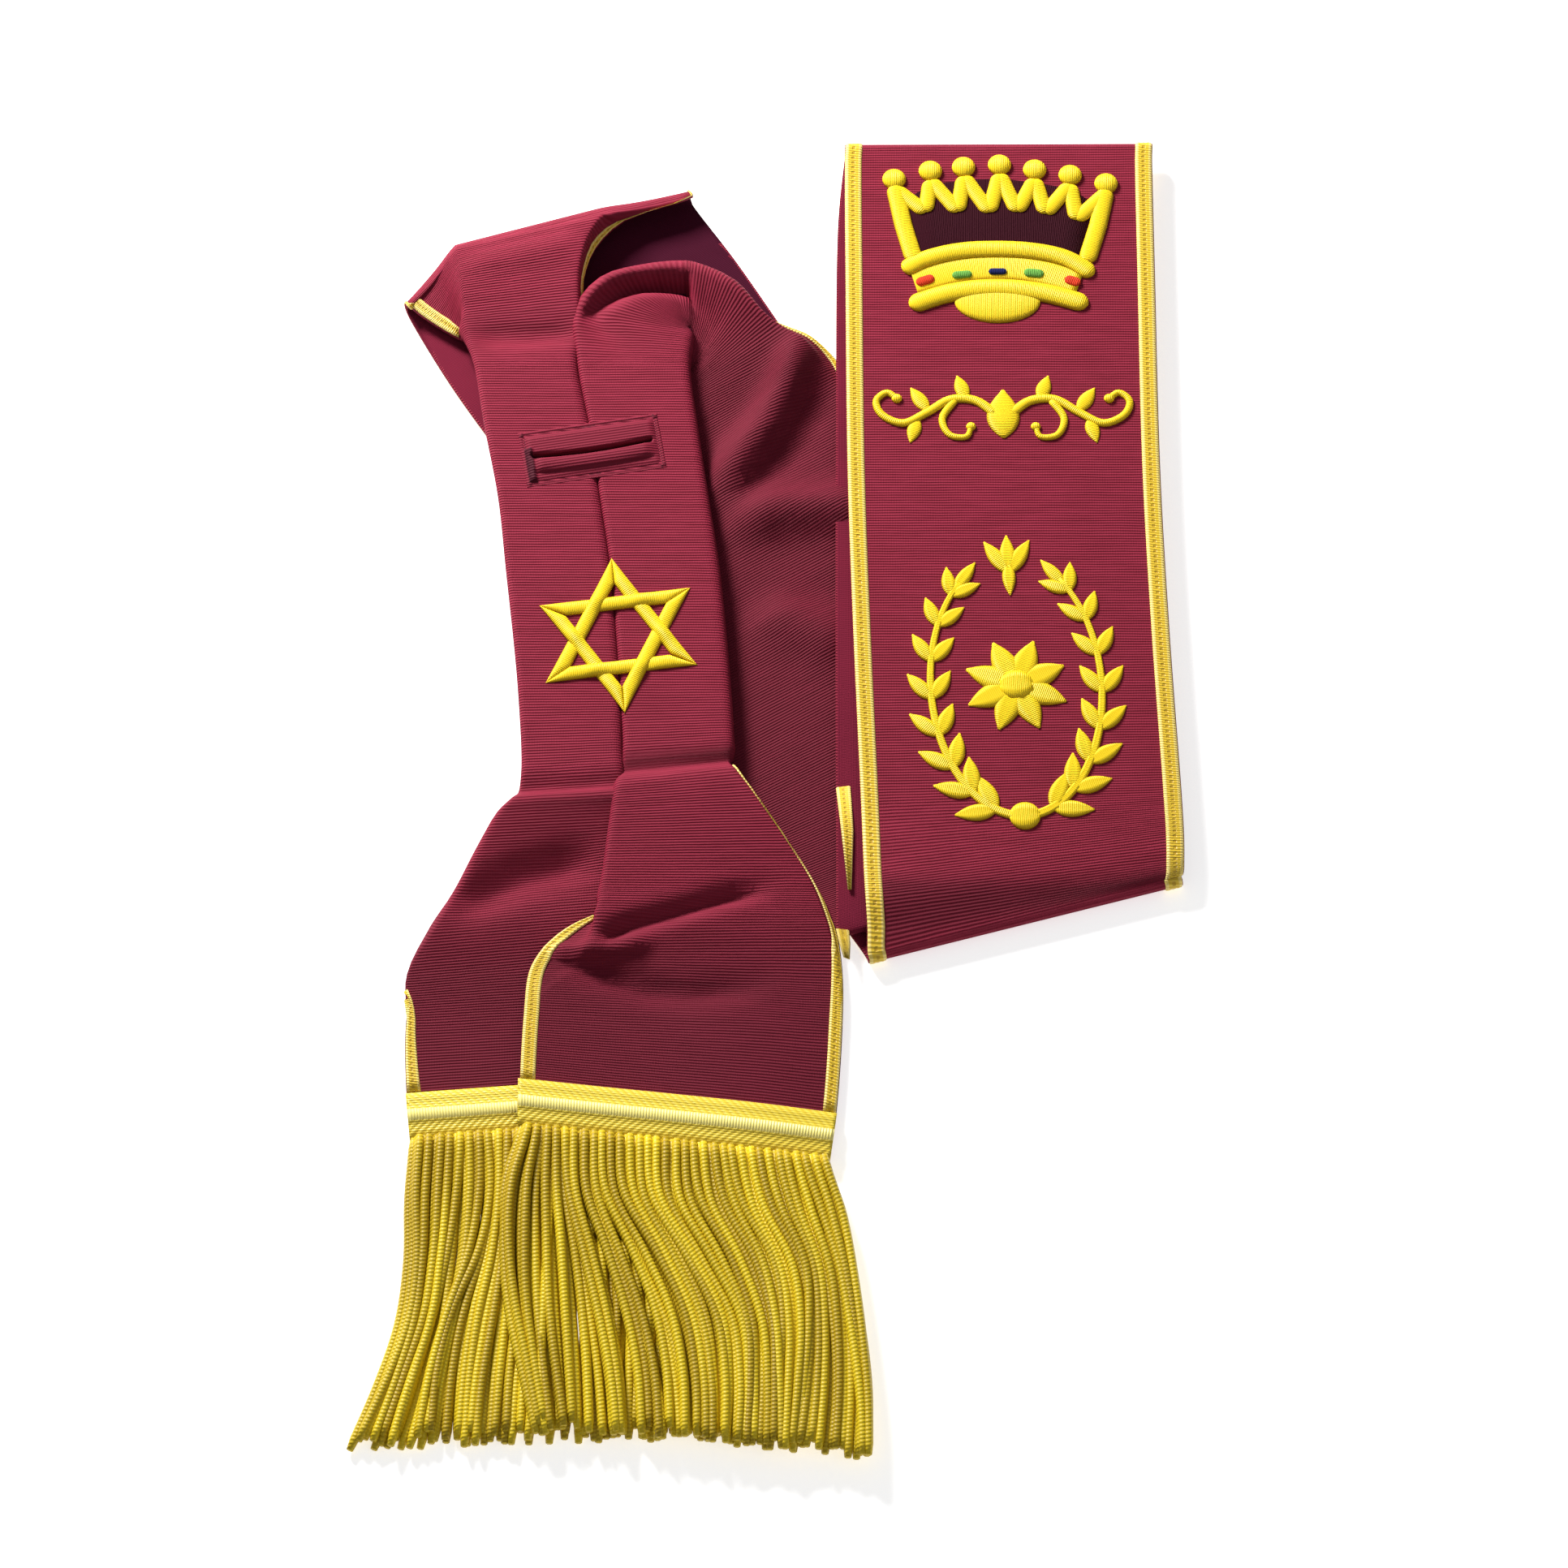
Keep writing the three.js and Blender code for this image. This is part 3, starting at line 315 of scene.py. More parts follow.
RIGHT_TAIL = [
    section((-18.4, 3.0, 7.4), (-18.2, 3.0, 9.2), (-50.8, -0.6, 9.2), (-24, 0, 7.6)),
    section((-14.4, -1.4, 11.2), (-16.6, -0.8, 12.6), (-51.4, -5.0, 12.8), (-24, -4, 8.0)),
    section((-7.4, -11.8, 10.8), (-9.8, -11, 12.2), (-52.6, -13.5, 12.2), (-25, -13, 8.2)),
    section((0.6, -24, 7.4), (-1.4, -23.4, 10.6), (-54.4, -25, 11.2), (-28, -25, 8.2)),
    section((8.6, -36.4, 5.0), (6.4, -36, 8.2), (-55.8, -37, 10.4), (-42, -37, 7.4), tuck=2.0),
    section((12.8, -44, 4.0), (10.0, -44, 6.8), (-56.8, -44.6, 10.0), (-54, -46.6, 5.6), tuck=6.0),
    section((14.9, -49.4, 3.4), (12.0, -49.4, 6.0), (-57.4, -50.6, 9.8), (-65, -51.4, 4.8), tuck=6.0),
    section((16.6, -54, 3.0), (13.4, -54, 5.4), (-57.8, -56.6, 8.6), (-71.6, -55.8, 4.6), tuck=3.0),
    section((17.8, -61, 2.6), (15.2, -61, 4.4), (-60.5, -62.5, 6.6), (-77.6, -62.6, 4.4)),
    section((18.6, -71, 2.4), (17.0, -71, 3.3), (-66, -69, 5.4), (-80.6, -69, 4.4)),
    lies_open((18.4, -88, 2.6), (-82.0, -84, 4.8), 1.2, 0.3),
    lies_open((16.4, -117, 2.6), (-82.8, -106, 5.0), 1.2, 0.3),
    lies_open((14, -133, 2.6), (-82.7, -122, 5.0), 1.2, 0.3),
]
ROUTE = (LEFT_TAIL + HIP_LEFT + TOP_FLARE + TOP_TURN + BACK_RUN + BOTTOM_TURN + FRONT_BAND + CREST_TURN
         + UNDER_RUN + INNER_TURN + BACK_RISE + OVER_TURN + HIP_RIGHT + RIGHT_TAIL)
ROW_STEP = 4.0


def spline_point(before, start, end, after, t):
    """A point between start and end on a centripetal Catmull-Rom spline."""
    d0 = math.sqrt((start - before).length) or 1
    d1 = math.sqrt((end - start).length) or 1
    d2 = math.sqrt((after - end).length) or 1
    leave = ((start - before) / d0 - (end - before) / (d0 + d1) + (end - start) / d1) * d1
    arrive = ((end - start) / d1 - (after - start) / (d1 + d2) + (after - end) / d2) * d1
    a = start * 2 - end * 2 + leave + arrive
    b = end * 3 - start * 3 - leave * 2 - arrive
    return start + leave * t + b * t * t + a * t * t * t


def along_line(points, n, t):
    """The point a share t of the way from point n to the next, on a smooth line through all of them."""
    before = points[n - 1] if n else points[n] * 2 - points[n + 1]
    after = points[n + 2] if n + 2 < len(points) else points[n + 1] * 2 - points[n]
    return spline_point(before, points[n], points[n + 1], after, t)


def sections_along(route, step):
    """The sections between those of the table, with at telling where each lies in it."""
    rows = []
    last = len(route) - 1
    columns = list(zip(*(row["points"] for row in route)))
    for k in range(last):
        start, end = route[k], route[k + 1]
        gap = max((start["points"][n] - end["points"][n]).length for n in (1, 2))
        count = max(3, round(gap / step))
        for j in range(count):
            t = j / count
            points = []
            for column in columns:
                point = along_line(column, k, t)
                low, high = sorted((column[k].z, column[k + 1].z))
                point.z = min(high, max(low, point.z))
                points.append(point)
            row = lies_open(points[0], points[3]) if start["open"] and end["open"] else section(*points)
            for key in ("dip", "dip_at", "dip_wide", "tuck"):
                row[key] = start[key] + (end[key] - start[key]) * t
            rows.append({**row, "at": k + t})
    rows.append({**route[-1], "at": last})
    return rows


def bezier(p0, p1, p2, p3, t):
    s = 1 - t
    return p0 * s ** 3 + p1 * 3 * s * s * t + p2 * 3 * s * t * t + p3 * t ** 3


def smooth(t):
    t = min(1, max(0, t))
    return t * t * (3 - 2 * t)


def flap(edge, fold, inward, tuck=0.0, straight=5, bend=9):
    """The cloth from its edge to a fold: turned back under the middle run, or sloping away from it."""
    reach = (edge - fold).dot(inward)
    drop = fold.z - edge.z
    radius = max(abs(drop) / 2, 0.05)
    turned_under = smooth((reach + 1.5 * radius) / (3 * radius))
    bulge = 4 / 3 * radius
    below = Vector((fold.x, fold.y, edge.z))
    sideways = edge - fold - inward * reach
    below += Vector((sideways.x, sideways.y, 0)) * 0.5
    level = Vector((fold.x - edge.x, fold.y - edge.y, 0))
    leave = edge + level * 0.75 + inward * 2 * tuck
    meet = fold - level * 0.25 - inward * tuck
    points = []
    count = straight + bend
    for k in range(count + 1):
        sloped = bezier(edge, leave, meet, fold, k / count)
        if k < straight:
            under = edge.lerp(below, k / straight)
        else:
            under = bezier(below, below - inward * bulge, fold - inward * bulge, fold, (k - straight) / bend)
        points.append(sloped.lerp(under, turned_under))
    return points


def across(row, run_steps=30):
    left_edge, left_fold, right_fold, right_edge = row["points"]
    inward = right_fold - left_fold
    inward.z = 0
    inward.normalize()
    left = flap(left_edge, left_fold, inward)
    right = flap(right_edge, right_fold, -inward, row["tuck"])[::-1]
    run = []
    for k in range(1, run_steps):
        t = k / run_steps
        near = math.exp(-((t - row["dip_at"]) / row["dip_wide"]) ** 2)
        run.append(left_fold.lerp(right_fold, t) + Vector((0, 0, row["dip"] * near)))
    return left + run + right


rows = sections_along(ROUTE, ROW_STEP)
grid = [across(row) for row in rows]


def start_of(stretch):
    return ROUTE.index(stretch[0])


# Soft creases: each raises or sinks the cloth along a line, between two places on the route.
RISE, TAIL = (start_of(BACK_RISE), start_of(OVER_TURN) + 2), (start_of(RIGHT_TAIL), len(ROUTE))
FLARE = (start_of(TOP_FLARE) - 1, start_of(TOP_FLARE) + 4)
CREASES = [
    {"within": FLARE, "line": [(-106, 160), (-84, 160), (-62, 162)], "rise": -2.4, "width": 3.0},
    {"within": FLARE, "line": [(-112, 184), (-87, 190), (-60, 197)], "rise": 1.6, "width": 4.0},
    {"within": RISE, "rise": 6.8, "width": 6.0,
     "line": [(9, 170), (5.1, 158), (1.1, 145), (-5.6, 130), (-14.4, 117), (-20.6, 106), (-25, 94)]},
    {"within": RISE, "rise": -0.9, "width": 6.0,
     "line": [(22, 158), (11, 138), (2, 122), (-11, 109), (-21, 96)]},
    {"within": RISE, "line": [(-24, 88), (-4, 98), (16, 99), (34, 98)], "rise": 6.0, "width": 8.0},
    {"within": RISE, "line": [(-24, 60), (-4, 66), (17, 68), (34, 66)], "rise": -0.9, "width": 5.0},
    {"within": RISE, "line": [(-14, 62), (2, 58), (12, 52), (24, 46)], "rise": 3.4, "width": 9.0},
    {"within": (0, 8), "rise": -3.4, "width": 6.6,
     "line": [(-112, -50), (-97, -43), (-84, -36), (-69, -31.6), (-52, -28)]},
    {"within": TAIL, "rise": -3.4, "width": 3.0,
     "line": [(-60, -61), (-55.9, -58.6), (-48.8, -54), (-35, -49.8), (-22, -45.4), (-10, -42), (2, -39)]},
    {"within": TAIL, "rise": 2.4, "width": 2.4,
     "line": [(-76, -62), (-70, -62), (-63, -62.4), (-48.7, -60.4), (-38, -58)]},
    {"within": TAIL, "rise": -2.6, "width": 3.6,
     "line": [(-76, -64), (-68, -65.4), (-55.3, -70.7), (-42.4, -75.5), (-29.7, -76.6), (-12, -75),
              (0, -71)]},
]


def crease_at(point, crease):
    """How far a crease lifts a point: most along its line, fading to both sides and towards its ends."""
    line = crease["line"]
    nearest, share = 1e9, 0.0
    for n, ((ax, ay), (bx, by)) in enumerate(zip(line, line[1:])):
        along = Vector((bx - ax, by - ay))
        t = min(1, max(0, (Vector((point.x - ax, point.y - ay))).dot(along) / along.length_squared))
        apart = math.hypot(point.x - ax - along.x * t, point.y - ay - along.y * t)
        if apart < nearest:
            nearest, share = apart, (n + t) / (len(line) - 1)
    fade = smooth(min(share, 1 - share) / 0.3)
    return crease["rise"] * fade * math.exp(-(nearest / crease["width"]) ** 2)


for row, line in zip(rows, grid):
    for crease in CREASES:
        first, last = crease["within"]
        if first <= row["at"] <= last:
            for point in line:
                point.z = max(CLOTH / 2, point.z + crease_at(point, crease))


def normals_of(grid):
    normals = []
    for i, row in enumerate(grid):
        after, before = grid[min(i + 1, len(grid) - 1)], grid[max(i - 1, 0)]
        line = []
        for j in range(len(row)):
            over = row[min(j + 1, len(row) - 1)] - row[max(j - 1, 0)]
            line.append(over.cross(after[j] - before[j]).normalized())
        normals.append(line)
    return normals


def distances_across(line):
    found = [0.0]
    for a, b in zip(line, line[1:]):
        found.append(found[-1] + (b - a).length)
    return found


normals = normals_of(grid)
middles = [row[len(row) // 2] for row in grid]
alongs = [0.0]
for a, b in zip(middles, middles[1:]):
    alongs.append(alongs[-1] + (b - a).length)


def piece_of(name, points, faces, uvs, materials, flat_ends=False):
    """An object of points and UVs in millimetres, a UV for each corner of each face in turn."""
    mesh = bpy.data.meshes.new(name)
    mesh.from_pydata([tuple(p * MM + LAY) for p in points], [], faces)
    layer = mesh.uv_layers.new(name="cloth")
    for loop, (u, v) in zip(layer.data, uvs):
        loop.uv = (u * MM, v * MM)
    smoothed = [not flat_ends or len(face.vertices) == 4 for face in mesh.polygons]
    mesh.polygons.foreach_set("use_smooth", smoothed)
    for material in materials:
        mesh.materials.append(material)
    made = bpy.data.objects.new(name, mesh)
    bpy.context.collection.objects.link(made)
    return made


def stands_for(made, node):
    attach(made, "root")
    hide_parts(node)


def sheet_mesh(name, upper, lower, uv, *materials):
    """A closed sheet between two grids of points in millimetres, with uv(i, j) on both of its sides."""
    rows, columns = len(upper), len(upper[0])
    points = [p for side in (upper, lower) for line in side for p in line]
    at = lambda side, i, j: side * rows * columns + i * columns + j
    faces = []
    for i in range(rows - 1):
        for j in range(columns - 1):
            faces.append((at(0, i, j), at(0, i, j + 1), at(0, i + 1, j + 1), at(0, i + 1, j)))
            faces.append((at(1, i, j), at(1, i + 1, j), at(1, i + 1, j + 1), at(1, i, j + 1)))
        faces.append((at(0, i, 0), at(0, i + 1, 0), at(1, i + 1, 0), at(1, i, 0)))
        end = columns - 1
        faces.append((at(0, i, end), at(1, i, end), at(1, i + 1, end), at(0, i + 1, end)))
    for j in range(columns - 1):
        faces.append((at(0, 0, j), at(1, 0, j), at(1, 0, j + 1), at(0, 0, j + 1)))
        end = rows - 1
        faces.append((at(0, end, j), at(0, end, j + 1), at(1, end, j + 1), at(1, end, j)))
    uvs = [uv(*divmod(v % (rows * columns), columns)) for face in faces for v in face]
    return piece_of(name, points, faces, uvs, materials)


def offset(grid, normals, amount):
    return [[p + n * amount for p, n in zip(*lines)] for lines in zip(grid, normals)]


# How much shade is painted into the cloth's colour where the photograph is darker than the lamps make it:
# on the tails, behind the hip piece, and in a triangle above the band's bottom fold.
TAIL_PAINTED_SHADE = 0.6
BEHIND_PAINTED_SHADE = 0.55
FOLD_PAINTED_SHADE = 0.5
FOLD_SHADE_LONG = 17.0


def ribbon_material():
    surface = Surface("maroon grosgrain", 0.7, 0.12)
    across, along = surface.across_and_along()
    wander = surface.noise(across * 0.02, along * 0.05, 3.0) * 0.5
    ribs = (along / 0.95 + wander).wave()
    threads = (across / 0.5).wave()
    moire = surface.noise(across * 0.035, along * 0.22, 1.6, 3.0)
    slubs = surface.noise(across * 0.12, along * 1.1, 2.0, 2.0)
    base = surface.blend(moire.between(0.3, 0.72), (0.160, 0.007, 0.021, 1), (0.215, 0.012, 0.033, 1))
    ribbed = surface.blend(ribs * 0.4 + slubs * 0.25, base, (0.29, 0.023, 0.053, 1))
    # Painted shade: the tails are darkened towards a dark maroon out to about 50 mm from each end, fading out
    # by 95 mm.
    tails = 1 - along.between(50, 95) * (alongs[-1] - along).between(50, 95)
    shaded_tails = surface.blend(tails * TAIL_PAINTED_SHADE, ribbed, (0.08, 0.003, 0.012, 1))
    # Painted shade: the stretch behind the hip piece and a slanting triangle above the band's bottom fold are
    # darkened towards near black.
    start, end = (alongs[next(n for n, row in enumerate(rows) if row["at"] >= at)] for at in RISE)
    behind = along.between(start - 40, start) * (1 - along.between(end - 20, end + 10))
    folded = next(alongs[n] for n, row in enumerate(rows) if row["at"] >= start_of(FRONT_BAND))
    slant = FOLD_SHADE_LONG * (1 - across / RIBBON_WIDTH)
    bent = along.between(folded - 6, folded) * (1 - (along - folded - slant).between(-6, 2))
    return surface.finish(surface.blend((behind * BEHIND_PAINTED_SHADE).math("MAXIMUM", bent * FOLD_PAINTED_SHADE), shaded_tails,
                                        (0.06, 0.002, 0.009, 1)),
                          ribs * 0.8 + threads * 0.2 + slubs * 0.4, depth=0.00022)


def lining_material():
    surface = Surface("plum lining", 0.8, 0.06)
    across, along = surface.across_and_along()
    weave = (along / 0.5).wave() * (across / 0.5).wave()
    tone = surface.noise(across * 0.03, along * 0.03, 2.0)
    faded = surface.blend(tone, (0.15, 0.011, 0.030, 1), (0.19, 0.014, 0.036, 1))
    # Painted shade: the middle of the lining's width, from 20 to 62 mm across, is darkened all along,
    # standing for the shade inside the loop.
    lining = surface.blend(across.between(20, 62), faded, (0.055, 0.004, 0.017, 1))
    return surface.finish(lining, weave, depth=0.0001)


LINING_INSET = 0.7
ribbon_uv = [distances_across(line) for line in grid]
ribbon = sheet_mesh("maroon_ribbon", offset(grid, normals, CLOTH / 2), offset(grid, normals, -CLOTH / 2),
                    lambda i, j: (ribbon_uv[i][j], alongs[i]), ribbon_material(), lining_material())
columns = len(grid[0])
for face in ribbon.data.polygons:
    spots = [divmod(v - len(grid) * columns, columns) for v in face.vertices]
    in_by = sum(min(ribbon_uv[i][j], ribbon_uv[i][-1] - ribbon_uv[i][j]) for i, j in spots) / 4
    if all(i >= 0 for i, _ in spots) and in_by > LINING_INSET:
        face.material_index = 1
stands_for(ribbon, "sash_ribbon")


# The lace
# Flat gold lace is sewn along both edges of the ribbon's face, cream at its edges with a dotted gold
# middle. It ends under the braided headings; where an edge rolls under, only part of its width shows.
LACE_INSET = 0.2
LACE_PROFILE = [(0.0, 0.05), (0.06, 0.42), (0.2, 0.55), (0.36, 0.4), (0.5, 0.5), (0.64, 0.4), (0.8, 0.55),
                (0.94, 0.42), (1.0, 0.05)]


def in_from_edge(points, lifts, distance):
    gone = 0.0
    for a, b, u, v in zip(points, points[1:], lifts, lifts[1:]):
        step = (b - a).length
        if gone + step >= distance:
            t = (distance - gone) / step
            return a.lerp(b, t), u.lerp(v, t).normalized()
        gone += step


def lace_material():
    surface = Surface("gold lace", 0.42, 0.3)
    share, along = surface.across_and_along()
    stitches = (along / 0.9 + share).wave()
    from_middle = (share - 0.5).math("ABSOLUTE")
    selvedge = from_middle.between(0.26, 0.34)
    dots = (along / 1.9).wave().between(0.3, 0.75) * (1 - from_middle.between(0.05, 0.13))
    gold = surface.blend(stitches * 0.6, (0.62, 0.40, 0.02, 1), (0.86, 0.63, 0.06, 1))
    cream = surface.blend(stitches * 0.5, (0.80, 0.60, 0.14, 1), (0.92, 0.76, 0.28, 1))
    banded = surface.blend(selvedge, gold, cream)
    dotted = surface.blend(dots * 0.6, banded, (0.36, 0.19, 0.01, 1))
    return surface.finish(dotted, stitches * 0.5 - dots * 0.6, depth=0.00025)


def lace(name, node, side, start, end, widths):
    """One strip between two places on the route; widths has the width that shows at each place named."""
    upper, lower, lengths = [], [], []
    for i, row in enumerate(rows):
        if not start <= row["at"] <= end:
            continue
        before = max((w for w in widths if w[0] <= row["at"]), default=widths[0])
        after = min((w for w in widths if w[0] > row["at"]), default=widths[-1])
        share = (row["at"] - before[0]) / max(after[0] - before[0], 1e-6)
        width = before[1] + (after[1] - before[1]) * min(1, max(0, share))
        points, lifts = (grid[i], normals[i]) if side == "left" else (grid[i][::-1], normals[i][::-1])
        found = [in_from_edge(points, lifts, LACE_INSET + width * t) for t, _ in LACE_PROFILE]
        top = [p + n * (CLOTH / 2 + rise) for (p, n), (_, rise) in zip(found, LACE_PROFILE)]
        low = [p + n * (CLOTH / 2 + 0.02) for p, n in found]
        upper.append(top if side == "left" else top[::-1])
        lower.append(low if side == "left" else low[::-1])
        lengths.append(alongs[i])
    made = sheet_mesh(name, upper, lower, lambda i, j: (LACE_PROFILE[j][0], lengths[i]), gold_lace)
    stands_for(made, node)


gold_lace = lace_material()
heading_row = len(ROUTE) - 2
flare, under, rise = start_of(TOP_FLARE), start_of(UNDER_RUN), start_of(BACK_RISE)
over, tail = start_of(OVER_TURN), start_of(RIGHT_TAIL)
for strip in [
    ("lace_left_tail_outer", "lace_tail_left_outer", "left", 1, 2.9,
     [(1, 4.4), (2, 2.8), (2.6, 1.4), (2.9, 0.4)]),
    ("lace_left_tail_inner", "lace_tail_left_inner", "right", 1, 2.6, [(1, 5.0)]),
    ("lace_loop_left_edge", "lace_loop_left", "left", flare + 1.1, under + 2.6,
     [(flare + 1.1, 3.0), (flare + 2, 4.2), (flare + 4.4, 4.2), (flare + 5.4, 1.0), (flare + 9, 1.0),
      (flare + 11, 5.6)]),
    ("lace_rise_left_edge", "lace_rise_left", "left", rise + 0.5, over, [(rise, 5.6)]),
    ("lace_loop_right_edge", "lace_loop_right", "right", flare + 1, over + 2,
     [(flare + 1, 2.6), (flare + 3, 3.0), (flare + 4.4, 2.4), (flare + 5, 0.6), (flare + 9, 0.6),
      (flare + 12, 5.6), (over - 2, 5.6), (over - 1.5, 2.2), (over + 2, 1.2)]),
    ("lace_right_tail_inner", "lace_tail_right_inner", "right", tail + 5, heading_row, [(tail, 4.8)]),
    ("lace_right_tail_outer", "lace_tail_right_outer", "left", tail + 0.5, heading_row,
     [(tail + 0.5, 1.6), (tail + 2.4, 1.4), (tail + 3.2, 0.8), (tail + 4.2, 1.4), (tail + 5.4, 2.6),
      (tail + 8, 3.4), (tail + 10, 4.2)]),
]:
    lace(*strip)

# Two loose ends of the lace show between the front band and the fold behind it.
LOOSE_ROW = 18
LOOSE_ENDS = [
    {"name": "lace_loose_end", "height": 6.6,
     "rows": [((16.6, -4.8), (21.2, -4.2)), ((18.2, -20), (22.2, -20)), ((20.2, -41), (21.4, -41))]},
    {"name": "lace_loose_corner", "height": 5.4,
     "rows": [((16.4, -54.2), (20.6, -54.8)), ((17.4, -59), (21.0, -59.4)), ((18.8, -64.2), (20.8, -65))]},
]
for end in LOOSE_ENDS:
    loose_upper, loose_lower = [], []
    for (left_x, left_y), (right_x, right_y) in end["rows"]:
        left, right = Vector((left_x, left_y, end["height"])), Vector((right_x, right_y, end["height"]))
        loose_upper.append([left.lerp(right, t) + Vector((0, 0, height)) for t, height in LACE_PROFILE])
        loose_lower.append([left.lerp(right, t) for t, _ in LACE_PROFILE])
    loose_end = sheet_mesh(end["name"], loose_upper[::-1], loose_lower[::-1],
                           lambda i, j: (LACE_PROFILE[j][0], i * LOOSE_ROW), gold_lace)
    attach(loose_end, "root")


# The headings
# A braid 16 mm high is sewn across the end of each tail to hold its fringe. It is woven in three stripes:
# two of fine chevrons with a brighter ribbed cord between them.
HEADING_HEIGHT = 16.0
HEADING_PROFILE = [(0.0, 0.2), (0.04, 1.2), (0.2, 1.5), (0.36, 1.3), (0.4, 1.9), (0.5, 2.1), (0.6, 1.9),
                   (0.64, 1.3), (0.8, 1.5), (0.96, 1.2), (1.0, 0.2)]


def heading_material():
    surface = Surface("braided heading", 0.42, 0.3)
    across, along = surface.across_and_along()
    middle = 1 - (across - HEADING_HEIGHT / 2).math("ABSOLUTE").between(1.7, 2.1)
    lean = (across - HEADING_HEIGHT / 2).math("ABSOLUTE")
    chevrons = (along / 2.4 + lean / 2.2).wave()
    strands = (across / 0.8).wave()
    ribs = (along / 0.9).wave()
    woven = surface.blend(chevrons * 0.5 + strands * 0.25, (0.64, 0.46, 0.02, 1), (0.88, 0.72, 0.1, 1))
    ribbed = surface.blend(ribs * 0.5, (0.96, 0.86, 0.3, 1), (0.86, 0.70, 0.1, 1))
    height = (chevrons * 0.5 + strands * 0.3) * (1 - middle) + ribs * middle * 0.6
    return surface.finish(surface.blend(middle, woven, ribbed), height, depth=0.00025)


def heading(name, node, bottom, top, material, pieces=90):
    lines = []
    for ends in (bottom, top):
        points = [Vector(p) for p in ends]
        line = []
        for k in range(pieces + 1):
            place = k / pieces * (len(points) - 1)
            n = min(int(place), len(points) - 2)
            line.append(along_line(points, n, place - n))
        lines.append(line)
    upper, lower = [], []
    for t, rise in HEADING_PROFILE:
        line = [a.lerp(b, t) for a, b in zip(*lines)]
        upper.append([p + Vector((0, 0, CLOTH / 2 + rise)) for p in line])
        lower.append([p + Vector((0, 0, CLOTH / 2 + 0.02)) for p in line])
    along = distances_across(lines[0])
    made = sheet_mesh(name, upper, lower, lambda i, j: (HEADING_PROFILE[i][0] * HEADING_HEIGHT, along[j]),
                      material)
    stands_for(made, node)


braided = heading_material()
heading("braid_left", "heading_left", [(-116.9, -125.6, 0.6), (-66, -121.4, 0.6), (-15.2, -117.4, 0.6)],
        [(-118.6, -109.4, 0.6), (-67.8, -105.4, 0.6), (-17, -101.4, 0.6)], braided)
heading("braid_right", "heading_right",
        [(-83.1, -122.4, 5.0), (-58.5, -125.2, 4.6), (-34, -127.9, 4.5), (-10, -130.7, 4.4),
         (14.4, -133.4, 2.7)],
        [(-83.2, -106.2, 5.0), (-58, -108.9, 4.6), (-33, -111.6, 4.5), (-8.4, -114.4, 4.4),
         (16.6, -117.2, 2.7)], braided)


# The fringes
# About 100 twisted gold cords, 3 mm thick and 97 to 109 mm long, hang from each heading in three layers. They
# keep to the flow of their neighbours, which sweeps aside and back, and a few stray across the others.
CORD_THICK = 3.05
CORD_LAYERS = 3
# The whole number of a cord's turn tells which cord it is, so that each can have its own tone.
SEAM = 0.98
CORD_SHIFT = 7.3
CORD_SIDES = 6
CORD_PIECES = 28
UNEVEN_ENDS, STRAYS, STRAY_SHARE = (-2.0, 3.0), (-7, 6), 0.04
# Each flow line has its place along the heading and how far aside it has gone at each fifth of the way.
FRINGES = [
    {"name": "cords_left", "node": "fringe_left", "cords": 33, "seed": 4, "rise": (1.7, 1.6),
     "top": [(-115.6, -125.2), (-16, -117.4)], "ends": [(-228, 0.0), (-224, 1.0)],
     "flow": [(0.0, (-1.0, -0.6, -2.8, -9.0, -17.0)), (0.12, (-0.5, -1.1, -2.8, -8.0, -13.6)),
              (0.23, (1.7, 0.2, -5.0, -7.6, -8.6)), (0.35, (-2.4, -5.0, -6.4, -8.2, -9.0)),
              (1.0, (2.0, 6.0, 10.0, 10.0, 10.0))]},
    {"name": "cords_right", "node": "fringe_right", "cords": 33, "seed": 9, "rise": (5.3, 5.0),
     "top": [(-81.6, -122.4), (12.4, -133.2)], "ends": [(-224, 0.0), (-232, 1.0)],
     "flow": [(0.0, (-6.0, -7.5, -6.0, -1.5, 3.5)), (0.1, (0.2, 1.2, 2.0, 3.2, 4.6)),
              (0.2, (0.6, 7.0, 13.0, 17.0, 18.6)), (0.32, (1.7, 11.8, 20.0, 23.6, 24.6)),
              (0.5, (1.2, 11.6, 21.0, 22.6, 21.4)), (0.68, (3.8, 13.2, 17.2, 17.6, 17.4)),
              (0.83, (3.8, 11.3, 12.8, 11.8, 9.6)), (1.0, (5.6, 9.2, 12.0, 13.8, 13.8))]},
]


def fringe_material():
    surface = Surface("twisted gold cord", 0.45, 0.25)
    turn, along = surface.across_and_along()
    strands = (along / 1.3 + turn).wave()
    tone = surface.noise(turn.math("FLOOR") * 0.73, along * 0.004, 3.0, 1.0)
    shade = surface.blend(tone.between(0.36, 0.64), (0.34, 0.22, 0.003, 1), (0.68, 0.50, 0.010, 1))
    # The twist's strands are striped a paler gold: partly their own pattern and partly a painted highlight.
    colour = surface.blend(strands * 0.35, shade, (0.82, 0.62, 0.04, 1))
    return surface.finish(colour, strands, depth=0.00012)


